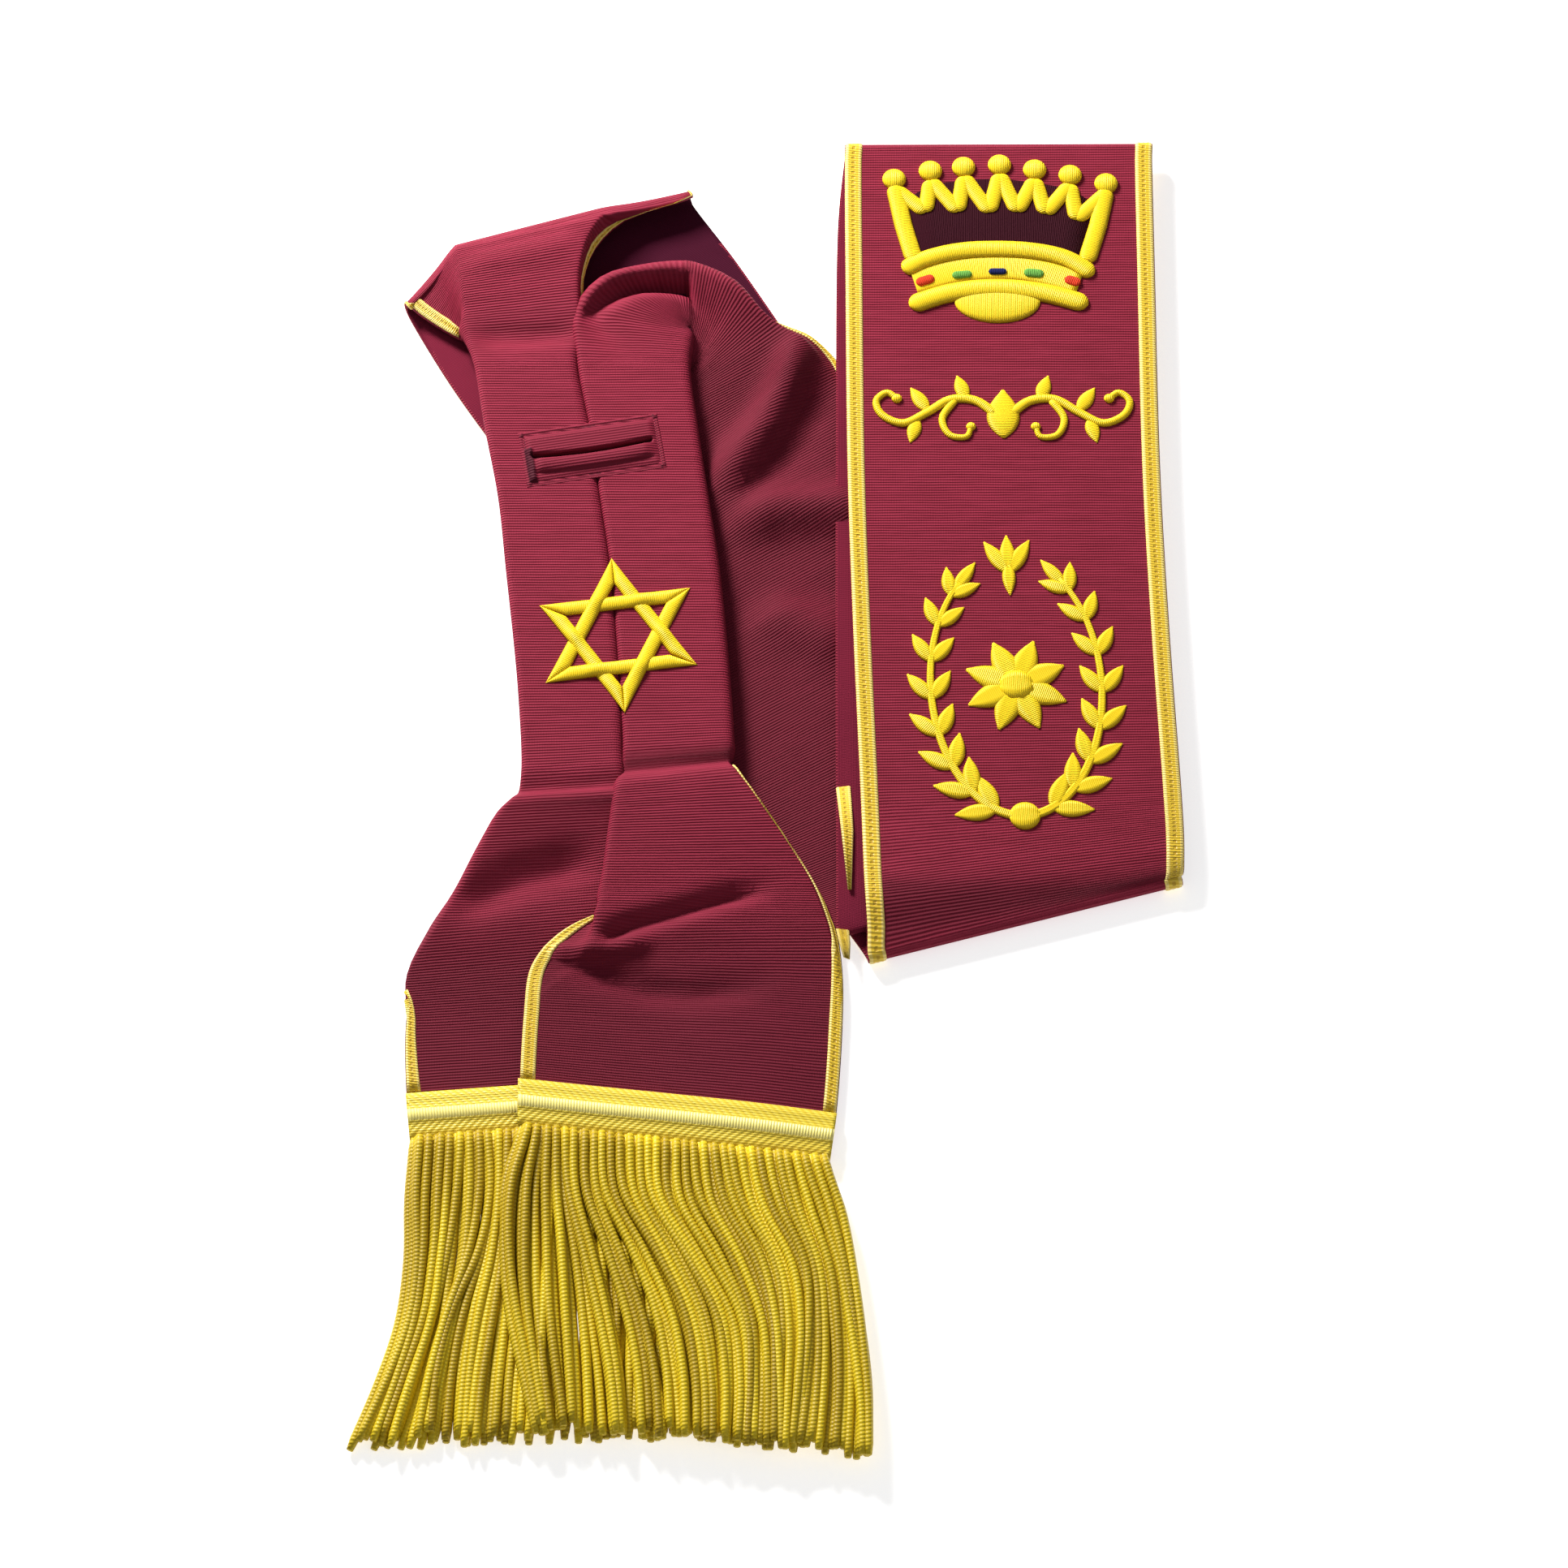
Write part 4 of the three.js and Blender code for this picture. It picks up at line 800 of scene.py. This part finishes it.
def flow_at(fringe, share, t):
    """How far aside the flow has gone at one place along the heading and one share of the way down."""
    lines = fringe["flow"]
    n = max(k for k in range(len(lines) - 1) if lines[k][0] <= share)
    (a, first), (b, second) = lines[n], lines[n + 1]
    mixed = [0.0] + [u + (v - u) * (share - a) / (b - a) for u, v in zip(first, second)]
    place = min(t, 0.9999) * (len(mixed) - 1)
    k = int(place)
    spots = [Vector((0, value, 0)) for value in mixed]
    before = spots[k - 1] if k else spots[0]
    after = spots[k + 2] if k + 2 < len(spots) else spots[k + 1] * 2 - spots[k]
    f = place - k
    leave, arrive = (spots[k + 1] - before) / 2, (after - spots[k]) / 2
    a3 = spots[k] * 2 - spots[k + 1] * 2 + leave + arrive
    b3 = spots[k + 1] * 3 - spots[k] * 3 - leave * 2 - arrive
    return (spots[k] + leave * f + b3 * f * f + a3 * f * f * f).y


def cord_way(fringe, share, layer, chance):
    top = Vector(fringe["top"][0]).lerp(Vector(fringe["top"][1]), share)
    bottom = fringe["ends"][0][0] + (fringe["ends"][1][0] - fringe["ends"][0][0]) * share
    bottom += chance.uniform(*UNEVEN_ENDS)
    stray = chance.gauss(0, 0.8)
    stray += chance.choice(STRAYS) if chance.random() < STRAY_SHARE * (layer + 1) else 0
    sway, phase = chance.gauss(0, 0.5), chance.uniform(0, 6.3)
    rise = fringe["rise"][0] + (fringe["rise"][1] - fringe["rise"][0]) * share
    points = []
    for k in range(CORD_PIECES + 1):
        t = k / CORD_PIECES
        aside = flow_at(fringe, share, t) + stray * smooth(t) + sway * math.sin(5 * t + phase) * smooth(2 * t)
        lift = layer * (1.25 - 0.25 * t + 0.25 * smooth(3 * t) * math.sin(4 * t + phase))
        points.append(Vector((top.x + aside, top.y + (bottom - top.y) * t, rise + lift)))
    return points


def fringe_mesh(fringe, material):
    chance = random.Random(fringe["seed"])
    points, faces, uvs = [], [], []
    for layer in range(CORD_LAYERS):
        for n in range(fringe["cords"]):
            place = n + layer / CORD_LAYERS + chance.uniform(-0.15, 0.15)
            share = place / (fringe["cords"] - 1 / CORD_LAYERS)
            way_down = cord_way(fringe, min(1, max(0, share)), layer, chance)
            first = len(points)
            lengths = distances_across(way_down)
            for k, point in enumerate(way_down):
                ahead = way_down[min(k + 1, CORD_PIECES)] - way_down[max(k - 1, 0)]
                side = Vector((ahead.y, -ahead.x, 0)).normalized()
                radius = CORD_THICK / 2 * (1 if 0 < k < CORD_PIECES else 0.72)
                for m in range(CORD_SIDES):
                    angle = 2 * math.pi * m / CORD_SIDES
                    lift = Vector((0, 0, radius * math.sin(angle)))
                    points.append(point + side * radius * math.cos(angle) + lift)
            for k in range(CORD_PIECES):
                for m in range(CORD_SIDES):
                    a, b = first + k * CORD_SIDES + m, first + k * CORD_SIDES + (m + 1) % CORD_SIDES
                    faces.append((a, b, b + CORD_SIDES, a + CORD_SIDES))
                    turn, next_turn = n + SEAM * m / CORD_SIDES, n + SEAM * (m + 1) / CORD_SIDES
                    near, far = lengths[k] + n * CORD_SHIFT, lengths[k + 1] + n * CORD_SHIFT
                    uvs += [(turn, near), (next_turn, near), (next_turn, far), (turn, far)]
            for k in (0, CORD_PIECES):
                ring = [first + k * CORD_SIDES + m for m in range(CORD_SIDES)]
                faces.append(ring if k else ring[::-1])
                uvs += [(0.0, 0.0)] * CORD_SIDES
    made = piece_of(fringe["name"], points, faces, uvs, [material])
    stands_for(made, fringe["node"])


cord_gold = fringe_material()
for fringe in FRINGES:
    fringe_mesh(fringe, cord_gold)


# The slot for a fastening
# A slit goes through the top of both halves of the hip piece. It is faced with the same cloth, stitched
# down as a rectangle, with a flat welt above the slit, a puffed one below it and a bar of dark thread.
SLOT = {"x": -62.6, "y": 116.3, "tilt": 0.165, "width": 46.0, "height": 20.6, "foot": 11.55}
STITCHED = {"half_width": 21.6, "half_height": 8.9, "groove": 0.8}
SAG, SLIT_RISE, SLIT_REACH = 1.2, 0.9, 21
BAR_LEFT, BAR_DOWN = 20.6, 2.4
CUT_LENGTH, CUT_HALF, CUT_TOP, CUT_FOOT = 40.4, 0.8, 14, 4.9


def slit_at(u):
    return SLIT_RISE - SAG * (1 - (u / SLIT_REACH) ** 2)


def facing_height(u, v):
    slit = slit_at(u)
    end_of_slit = smooth((20.2 - abs(u)) / 1.2)
    past_side, past_end = STITCHED["half_width"] - abs(u), STITCHED["half_height"] - abs(v)
    inside = smooth(past_side / 2.4) * smooth(past_end / 2.4)
    border = smooth((SLOT["width"] / 2 - abs(u)) / 1.0) * smooth((SLOT["height"] / 2 - abs(v)) / 1.0)
    above, below = v - slit, slit - v
    puffed = 1.5 * math.sqrt(max(0.0, 1 - ((below - 3.1) / 3.1) ** 2)) if 0 < below < 6.2 else 0.0
    flat = 0.5 * smooth(above / 1.0)
    welt = (flat + puffed * smooth((21.5 - abs(u)) / 5)) * inside
    line = math.exp(-((past_side / STITCHED["groove"]) ** 2)) if past_end > 0 else 0.0
    line += math.exp(-((past_end / STITCHED["groove"]) ** 2)) if past_side > 0 else 0.0
    opened = math.exp(-((v - slit) / 0.75) ** 2) * end_of_slit
    bar = 0.8 * smooth((1.6 - abs(u + BAR_LEFT)) / 0.8) * smooth((6.6 - abs(v + BAR_DOWN)) / 1.0)
    return (0.35 + welt) * border * (1 - opened) - 0.45 * min(1, line) - 2.6 * opened + bar


def facing_material():
    surface = Surface("faced slot", 0.7, 0.12)
    u, v = surface.across_and_along()
    # Painted shade: inside the slit the facing is blended to near black.
    slit = (u / SLIT_REACH) * (u / SLIT_REACH) * SAG + (SLIT_RISE - SAG)
    inside = (v - slit).math("ABSOLUTE").between(0.3, 1.0)
    in_slit = (1 - inside) * (1 - u.math("ABSOLUTE").between(19.4, 20.4))
    ribs = (v / 0.95).wave()
    # Painted shade: the line of stitching round the rectangle is darkened in dashes, for the shade in its
    # groove.
    side_lines = (u.math("ABSOLUTE") - STITCHED["half_width"]).math("ABSOLUTE")
    end_lines = (v.math("ABSOLUTE") - STITCHED["half_height"]).math("ABSOLUTE")
    sewn = 1 - side_lines.math("MINIMUM", end_lines).between(0.2, 0.6)
    dashes = ((u + v) / 2.2).wave().between(0.2, 0.6)
    beside_bar = 1 - (u + BAR_LEFT).math("ABSOLUTE").between(0.9, 1.7)
    bar = beside_bar * (1 - (v + BAR_DOWN).math("ABSOLUTE").between(5.8, 6.8))
    cloth = surface.blend(ribs * 0.4, (0.165, 0.009, 0.025, 1), (0.25, 0.020, 0.046, 1))
    stitched = surface.blend(sewn * (dashes * 0.3 + 0.3), cloth, (0.04, 0.002, 0.008, 1))
    barred = surface.blend(bar * 0.8, stitched, (0.03, 0.002, 0.008, 1))
    return surface.finish(surface.blend(in_slit, barred, (0.02, 0.001, 0.004, 1)), ribs * 0.6, depth=0.0002)


def facing(columns=100, rows_up=64):
    upper, lower = [], []
    turned_axis = Vector((math.cos(SLOT["tilt"]), math.sin(SLOT["tilt"]), 0))
    up_axis = Vector((-turned_axis.y, turned_axis.x, 0))
    places = []
    for i in range(rows_up + 1):
        v = SLOT["height"] * (i / rows_up - 0.5)
        high, low, line = [], [], []
        for j in range(columns + 1):
            u = SLOT["width"] * (j / columns - 0.5)
            middle = Vector((SLOT["x"], SLOT["y"], SLOT["foot"])) + turned_axis * u + up_axis * v
            rise = facing_height(u, v)
            high.append(middle + Vector((0, 0, rise + 0.1)))
            low.append(middle + Vector((0, 0, rise - 0.3)))
            line.append((u, v))
        upper.append(high)
        lower.append(low)
        places.append(line)
    made = sheet_mesh("slot_welts", upper, lower, lambda i, j: places[i][j], facing_material())
    stands_for(made, "slot_facing")


facing()
cut_upper, cut_lower = [], []
for k in range(25):
    u = CUT_LENGTH * (k / 24 - 0.5)
    v = slit_at(u)
    ends = []
    for side in (-CUT_HALF, CUT_HALF):
        turned_u = u * math.cos(SLOT["tilt"]) - (v + side) * math.sin(SLOT["tilt"])
        turned_v = u * math.sin(SLOT["tilt"]) + (v + side) * math.cos(SLOT["tilt"])
        ends.append(Vector((SLOT["x"] + turned_u, SLOT["y"] + turned_v, 0)))
    cut_upper.append([p + Vector((0, 0, CUT_TOP)) for p in ends])
    cut_lower.append([p + Vector((0, 0, CUT_FOOT)) for p in ends])
cutter = sheet_mesh("slit_cutter", cut_upper, cut_lower, lambda i, j: (0.0, 0.0))
bpy.ops.object.select_all(action="DESELECT")
ribbon.select_set(True)
bpy.context.view_layer.objects.active = ribbon
bpy.ops.object.modifier_add(type="BOOLEAN")
ribbon.modifiers[-1].operation = "DIFFERENCE"
ribbon.modifiers[-1].solver = "FAST"
ribbon.modifiers[-1].object = cutter
bpy.ops.object.modifier_apply(modifier=ribbon.modifiers[-1].name)
bpy.data.objects.remove(cutter)


# The embroidery
# Every figure is worked in gold thread over padding: satin stitches run straight across each stroke. The
# star is on the hip piece, the coronet, flourish and wreath are on the front band.
THREAD_SIDES = 8


def stroke(points, width, rise):
    """Rows of left point, right point and height, along a line of points; width can follow the way along."""
    made = []
    for n, (x, y) in enumerate(points):
        before, after = points[max(n - 1, 0)], points[min(n + 1, len(points) - 1)]
        ahead = Vector((after[0] - before[0], after[1] - before[1])).normalized()
        t = n / (len(points) - 1)
        half = (width(t) if callable(width) else width) / 2
        aside = Vector((-ahead.y, ahead.x)) * half
        made.append((Vector((x, y)) + aside, Vector((x, y)) - aside, rise(t) if callable(rise) else rise))
    return made


def way(points, pieces=8):
    """A smooth line of that many pieces between each two points."""
    spots = [Vector((x, y, 0)) for x, y in points]
    made = []
    for n in range(len(spots) - 1):
        for k in range(pieces):
            made.append(tuple(along_line(spots, n, k / pieces).xy))
    return made + [points[-1]]


def rounded(t, ends):
    """1 along a stroke and falling in a quarter circle over its ends, a share of it long."""
    near = min(t, 1 - t) / ends
    return math.sqrt(max(0.0, 1 - (1 - near) ** 2)) if near < 1 else 1.0


def round_ended(points, width, rise):
    length = sum(math.dist(a, b) for a, b in zip(points, points[1:]))
    ends = min(0.5, width / 2 / length)
    shares = [ends * (1 - math.cos(math.pi / 2 * k / 6)) for k in range(6)]
    shares += [ends + (1 - 2 * ends) * k / 24 for k in range(25)] + [1 - share for share in shares[::-1]]
    spots = []
    for share in shares:
        place = share * (len(points) - 1)
        n = min(int(place), len(points) - 2)
        a, b = points[n], points[n + 1]
        spots.append((a[0] + (b[0] - a[0]) * (place - n), a[1] + (b[1] - a[1]) * (place - n)))
    made = []
    for share, (left, right, _) in zip(shares, stroke(spots, width, rise)):
        middle, full = (left + right) / 2, max(0.04, rounded(share, ends))
        made.append((middle + (left - middle) * full, middle + (right - middle) * full, rise * full ** 0.6))
    return made


def oval(x, y, reach, height, rise):
    """A domed oval, stitched straight up and down."""
    made = []
    for k in range(17):
        angle = math.pi * k / 16
        half = max(0.03, math.sin(angle)) * height
        spot = Vector((x - reach * math.cos(angle), y))
        aside = Vector((0, half))
        made.append((spot + aside, spot - aside, rise * max(0.1, math.sin(angle)) ** 0.5))
    return made


def leaf(base, angle, length, width, rise=1.0):
    tip = (base[0] + math.cos(angle) * length, base[1] + math.sin(angle) * length)
    line = [(base[0] + (tip[0] - base[0]) * k / 14, base[1] + (tip[1] - base[1]) * k / 14) for k in range(15)]
    swell = lambda t: width * max(0.06, math.sin(math.pi * t ** 0.85)) ** 0.8
    return stroke(line, swell, lambda t: rise * max(0.15, math.sin(math.pi * t ** 0.85)) ** 0.5)


def thread_material():
    surface = Surface("padded gold thread", 0.45, 0.2)
    share, along = surface.across_and_along()
    stitches = (along / 0.62).wave()
    uneven = surface.noise(share * 0.8, along * 0.5, 2.0)
    # Painted shade: each stroke darkens towards both its edges, where the padded roll turns down to the
    # cloth.
    edge = (share - 0.5).math("ABSOLUTE").between(0.36, 0.5)
    gold = surface.blend(stitches * 0.4 + uneven * 0.3, (0.84, 0.55, 0.008, 1), (0.98, 0.78, 0.02, 1))
    worked = surface.blend(edge * 0.6, gold, (0.42, 0.23, 0.006, 1))
    return surface.finish(worked, stitches * 0.5 + uneven * 0.3, depth=0.0002)


def embroidered(name, node, strokes, x, y, foot, turned_by=0.0, groove=0.0, thread=None):
    """All strokes of a figure as one mesh of closed padded rolls; groove parts leaves down the middle."""
    points, faces, uvs = [], [], []
    turn = Vector((math.cos(turned_by), math.sin(turned_by)))
    for rows_of in strokes:
        first = len(points)
        gone, along = 0.0, []
        for k, (left, right, rise) in enumerate(rows_of):
            if k:
                gone += ((left + right) / 2 - (rows_of[k - 1][0] + rows_of[k - 1][1]) / 2).length
            along.append(gone)
            for m in range(THREAD_SIDES + 1):
                angle = math.pi * m / THREAD_SIDES
                share = (1 - math.cos(angle)) / 2
                spot = left.lerp(right, share)
                vein = groove * math.exp(-((share - 0.5) / 0.12) ** 2)
                lift = rise * (max(0.0, math.sin(angle)) ** 0.8 - vein)
                points.append(Vector((x + spot.x * turn.x - spot.y * turn.y,
                                      y + spot.x * turn.y + spot.y * turn.x, foot + lift)))
        ring = THREAD_SIDES + 1
        for k in range(len(rows_of) - 1):
            for m in range(ring):
                a, b = first + k * ring + m, first + k * ring + (m + 1) % ring
                faces.append((a, b, b + ring, a + ring))
                shares = [(1 - math.cos(math.pi * q / THREAD_SIDES)) / 2 for q in (m, (m + 1) % ring)]
                uvs += [(shares[0], along[k]), (shares[1], along[k]),
                        (shares[1], along[k + 1]), (shares[0], along[k + 1])]
        for k in (0, len(rows_of) - 1):
            end = [first + k * ring + m for m in range(ring)]
            faces.append(end if k else end[::-1])
            uvs += [(0.5, along[k])] * ring
    made = piece_of(name, points, faces, uvs, [thread or gold_thread], flat_ends=True)
    stands_for(made, node)


gold_thread = thread_material()
HIP_TOP = HIP + CLOTH / 2
BAND_TOP = FRONT + CLOTH / 2 - 0.05


# The hip star
# Two equal triangles are laced through each other. Each of the six bars goes over the first bar it meets
# and under the second, and they meet in mitres at the points.
STAR = {"x": -53.4, "y": 47.8, "reach": 28.3, "bar": 4.8, "turned": 0.085, "lean": 0.05}


def star_bar(start, finish):
    along = finish - start
    length = along.length
    ahead = along / length
    inward = Vector((-ahead.y, ahead.x))
    corner = STAR["bar"] / math.tan(math.pi / 6)
    made = []
    for k in range(61):
        s = length * k / 60
        width = max(0.15, min(STAR["bar"], min(s, length - s) * STAR["bar"] / corner))
        over = 0.7 * math.exp(-((s / length - 1 / 3) / 0.07) ** 2)
        under = 0.35 * math.exp(-((s / length - 2 / 3) / 0.06) ** 2)
        left = start + ahead * s + inward * width
        made.append((left, start + ahead * s, (1.3 + over - under) * (width / STAR["bar"]) ** 0.5))
    return made


star_corners = []
for n in range(6):
    angle = math.pi * (0.5 + n / 3)
    aside, up = STAR["reach"] * math.cos(angle), STAR["reach"] * math.sin(angle)
    star_corners.append(Vector((aside, up + STAR["lean"] * aside)))
embroidered("star_in_thread", "hip_star",
            [star_bar(star_corners[n], star_corners[(n + 2) % 6]) for n in range(6)],
            STAR["x"], STAR["y"], HIP_TOP, STAR["turned"])


# The coronet
# Seven balls stand on a zigzag between two uprights. Below are two rolls with the jewelled rim between
# them and a swelling under the lower roll, and a cap of dark thread fills the inside.
CORONET = {"x": 71.9, "y": 194.6, "rim": 9.5, "zigzag": 5.4, "below_ball": 3.6, "upright": 6.2,
           "upper_roll": 6.4, "lower_roll": 7.0, "jewel_lift": 0.55}
UPRIGHTS = [[(-35.2, 25.0), (-32.2, 9.0), (-28.6, -5.0)], [(35.4, 23.4), (32.4, 9.0), (28.2, -5.4)]]
BALLS = [(-35.2, 27.0), (-23.1, 30.2), (-12.0, 31.7), (0.0, 32.6), (11.7, 30.7), (23.5, 28.6), (35.4, 25.3)]
VALLEYS = [(-24.8, 14.2), (-14.0, 14.4), (-3.6, 14.2), (5.6, 14.4), (15.0, 13.6), (25.2, 11.2)]
UPPER_ROLL = [(-32.6, -8.4), (-25.4, -4.2), (-14, -1.0), (-1.6, -0.2), (11, -1.0), (21.6, -3.8), (30.6, -10)]
RIM = [(-29, -12.4), (-14, -8.2), (-1.6, -7.0), (11, -8.2), (26, -12.8)]
LOWER_ROLL = [(-30.6, -21.8), (-16, -16.8), (-1.6, -15.2), (13, -16.8), (28.6, -21.4)]
JEWEL_COLUMNS = ("node", "x", "y", "tilt", "length", "height", "thread")
JEWELS = [dict(zip(JEWEL_COLUMNS, row)) for row in [
    ("jewel_1", -25.2, -12.4, 0.35, 6.4, 3.4, "red_thread"),
    ("jewel_2", -13.0, -10.2, 0.1, 6.6, 2.8, "green_thread"),
    ("jewel_3", -1.2, -9.0, 0.0, 6.0, 2.4, "navy_thread"),
    ("jewel_4", 10.8, -9.6, -0.1, 6.6, 3.2, "green_thread"),
    ("jewel_5", 23.6, -12.6, -0.35, 5.6, 3.4, "red_thread"),
]]
THREAD_COLOURS = {"red_thread": (0.62, 0.05, 0.02, 1), "green_thread": (0.12, 0.32, 0.06, 1),
                  "navy_thread": (0.012, 0.018, 0.09, 1), "dark_thread": (0.03, 0.003, 0.008, 1)}


def coloured_thread(name):
    surface = Surface(name.replace("_", " "), 0.7, 0.05)
    share, along = surface.across_and_along()
    stitches = (along / 0.62).wave()
    colour = THREAD_COLOURS[name]
    lit = tuple(min(1, c * 1.5) for c in colour[:3]) + (1,)
    return surface.finish(surface.blend(stitches * 0.6, colour, lit), stitches, depth=0.00015)


coronet_strokes = [stroke(way(RIM, 6), CORONET["rim"], 0.7)]
for ball, valley, next_ball in zip(BALLS, VALLEYS, BALLS[1:]):
    for peak in (ball, next_ball):
        leg = [(peak[0], peak[1] - CORONET["below_ball"]), valley]
        coronet_strokes.append(round_ended(leg, CORONET["zigzag"], 1.4))
for line in UPRIGHTS:
    coronet_strokes.append(round_ended(line, CORONET["upright"], 1.6))
coronet_strokes.append(oval(-1.4, -20.2, 14.2, 8.4, 1.5))
coronet_strokes.append(round_ended(way(UPPER_ROLL, 6), CORONET["upper_roll"], 1.8))
coronet_strokes.append(round_ended(way(LOWER_ROLL, 6), CORONET["lower_roll"], 1.9))
for x, y in BALLS:
    coronet_strokes.append(oval(x, y, 3.9, 4.0, 2.0))
embroidered("coronet_in_thread", "coronet", coronet_strokes, CORONET["x"], CORONET["y"], BAND_TOP)

cap_top = [(-33.6, 18), (-23.1, 25.6), (-12.0, 27.2), (0.0, 28), (11.7, 26.2), (23.5, 24), (33.8, 16)]
cap_bottom = [(-28, -5), (-21, -2), (-12, -0.6), (-0.6, -0.2), (10.6, -0.6), (20, -2.4), (27.4, -5.4)]
cap_lines = [(Vector(top), Vector(bottom), 0.3) for top, bottom in zip(cap_top, cap_bottom)]
threads = {name: coloured_thread(name) for name in THREAD_COLOURS}
embroidered("cap_in_thread", "coronet_cap", [cap_lines], CORONET["x"], CORONET["y"], BAND_TOP,
            thread=threads["dark_thread"])
for jewel in JEWELS:
    reach = jewel["length"] / 2
    side = Vector((math.cos(jewel["tilt"]), math.sin(jewel["tilt"]))) * reach
    ends = [(jewel["x"] - side.x, jewel["y"] - side.y), (jewel["x"] + side.x, jewel["y"] + side.y)]
    embroidered(jewel["node"] + "_in_thread", jewel["node"], [round_ended(ends, jewel["height"], 0.8)],
                CORONET["x"], CORONET["y"], BAND_TOP + CORONET["jewel_lift"],
                thread=threads[jewel["thread"]])


# The flourish
# Two mirrored scrolls with three leaves each grow out of a lozenge in the middle of the band.
FLOURISH = {"x": 71.8, "y": 131.5}


def scroll(side):
    mirrored = lambda points: [(x * side, y) for x, y in points]
    towards = lambda angle: angle if side > 0 else math.pi - angle
    vine = way(mirrored([(2.5, 0), (9, 5), (17, 5.5), (25, 0.5), (33, -3.5), (40, 0), (41.5, 5), (38, 8),
                         (34.8, 5.8)]), 5)
    curl = way(mirrored([(16, 5), (20, -2), (17.5, -8), (12, -8.5), (10.6, -4.8)]), 5)
    return [
        stroke(vine, lambda t: 3.4 - 1.2 * t, 1.2),
        stroke(curl, lambda t: 2.8 - 1.0 * t, 1.1),
        leaf((12 * side, 5.4), towards(1.25), 9.5, 5),
        leaf((24.5 * side, 1), towards(1.0), 10.5, 5),
        leaf((28 * side, -1.6), towards(-1.3), 9.5, 4.8),
        oval(34.8 * side, 5.8, 1.7, 1.7, 1.4),
        oval(10.6 * side, -4.8, 1.6, 1.6, 1.3),
    ]


embroidered("flourish_in_thread", "flourish",
            scroll(1) + scroll(-1) + [leaf((0, -9), math.pi / 2, 18, 11, 1.4)],
            FLOURISH["x"], FLOURISH["y"], BAND_TOP)


# The wreath and the rosette
# Two sprays of paired leaves meet at the bottom in a berry, with a three-leaved finial between their tips
# and a rosette of eight veined petals in the middle.
DEVICE = {"x": 74.6, "y": 31.0, "turned": 0.045, "half_width": 27.5, "half_height": 47.0, "leaf": 14.0,
          "leaf_width": 6.2, "leaves": 8}


def spray(side):
    def stem_at(t):
        angle = -math.pi / 2 + 0.06 + t * 2.45
        return side * DEVICE["half_width"] * math.cos(angle), DEVICE["half_height"] * math.sin(angle)

    made = [stroke([stem_at(n / 36) for n in range(37)], lambda t: 3.2 - 1.2 * t, 1.1)]
    for n in range(DEVICE["leaves"]):
        t = (n + 0.9) / (DEVICE["leaves"] + 0.4)
        (x, y), (next_x, next_y) = stem_at(t), stem_at(t + 0.01)
        heading_to = math.atan2(next_y - y, next_x - x)
        size = 1 - 0.25 * t
        for lean in (0.62, -0.62):
            length, width = DEVICE["leaf"] * size, DEVICE["leaf_width"] * size
            made.append(leaf((x, y), heading_to + lean, length, width, 1.3))
    tip, before = stem_at(1), stem_at(0.97)
    made.append(leaf(before, math.atan2(tip[1] - before[1], tip[0] - before[0]), 12, 4.6, 1.3))
    return made


def on_device(name, node, strokes):
    embroidered(name, node, strokes, DEVICE["x"], DEVICE["y"], BAND_TOP, DEVICE["turned"], groove=0.3)


berry = oval(0, -DEVICE["half_height"], 5, 5, 1.8)
on_device("wreath_in_thread", "wreath", spray(1) + spray(-1) + [berry])
petals = [leaf((0, 0), n * math.pi / 4 + math.pi / 8, 17, 8.6, 1.5) for n in range(8)]
on_device("rosette_in_thread", "rosette", petals + [oval(0, 0, 5.6, 5.6, 2.6)])
on_device("finial_in_thread", "finial",
          [leaf((0, 41), math.pi / 2 + lean, 14, 5.4, 1.3) for lean in (-0.55, 0, 0.55)]
          + [leaf((0, 45), -math.pi / 2, 12, 4.5, 1.3)])
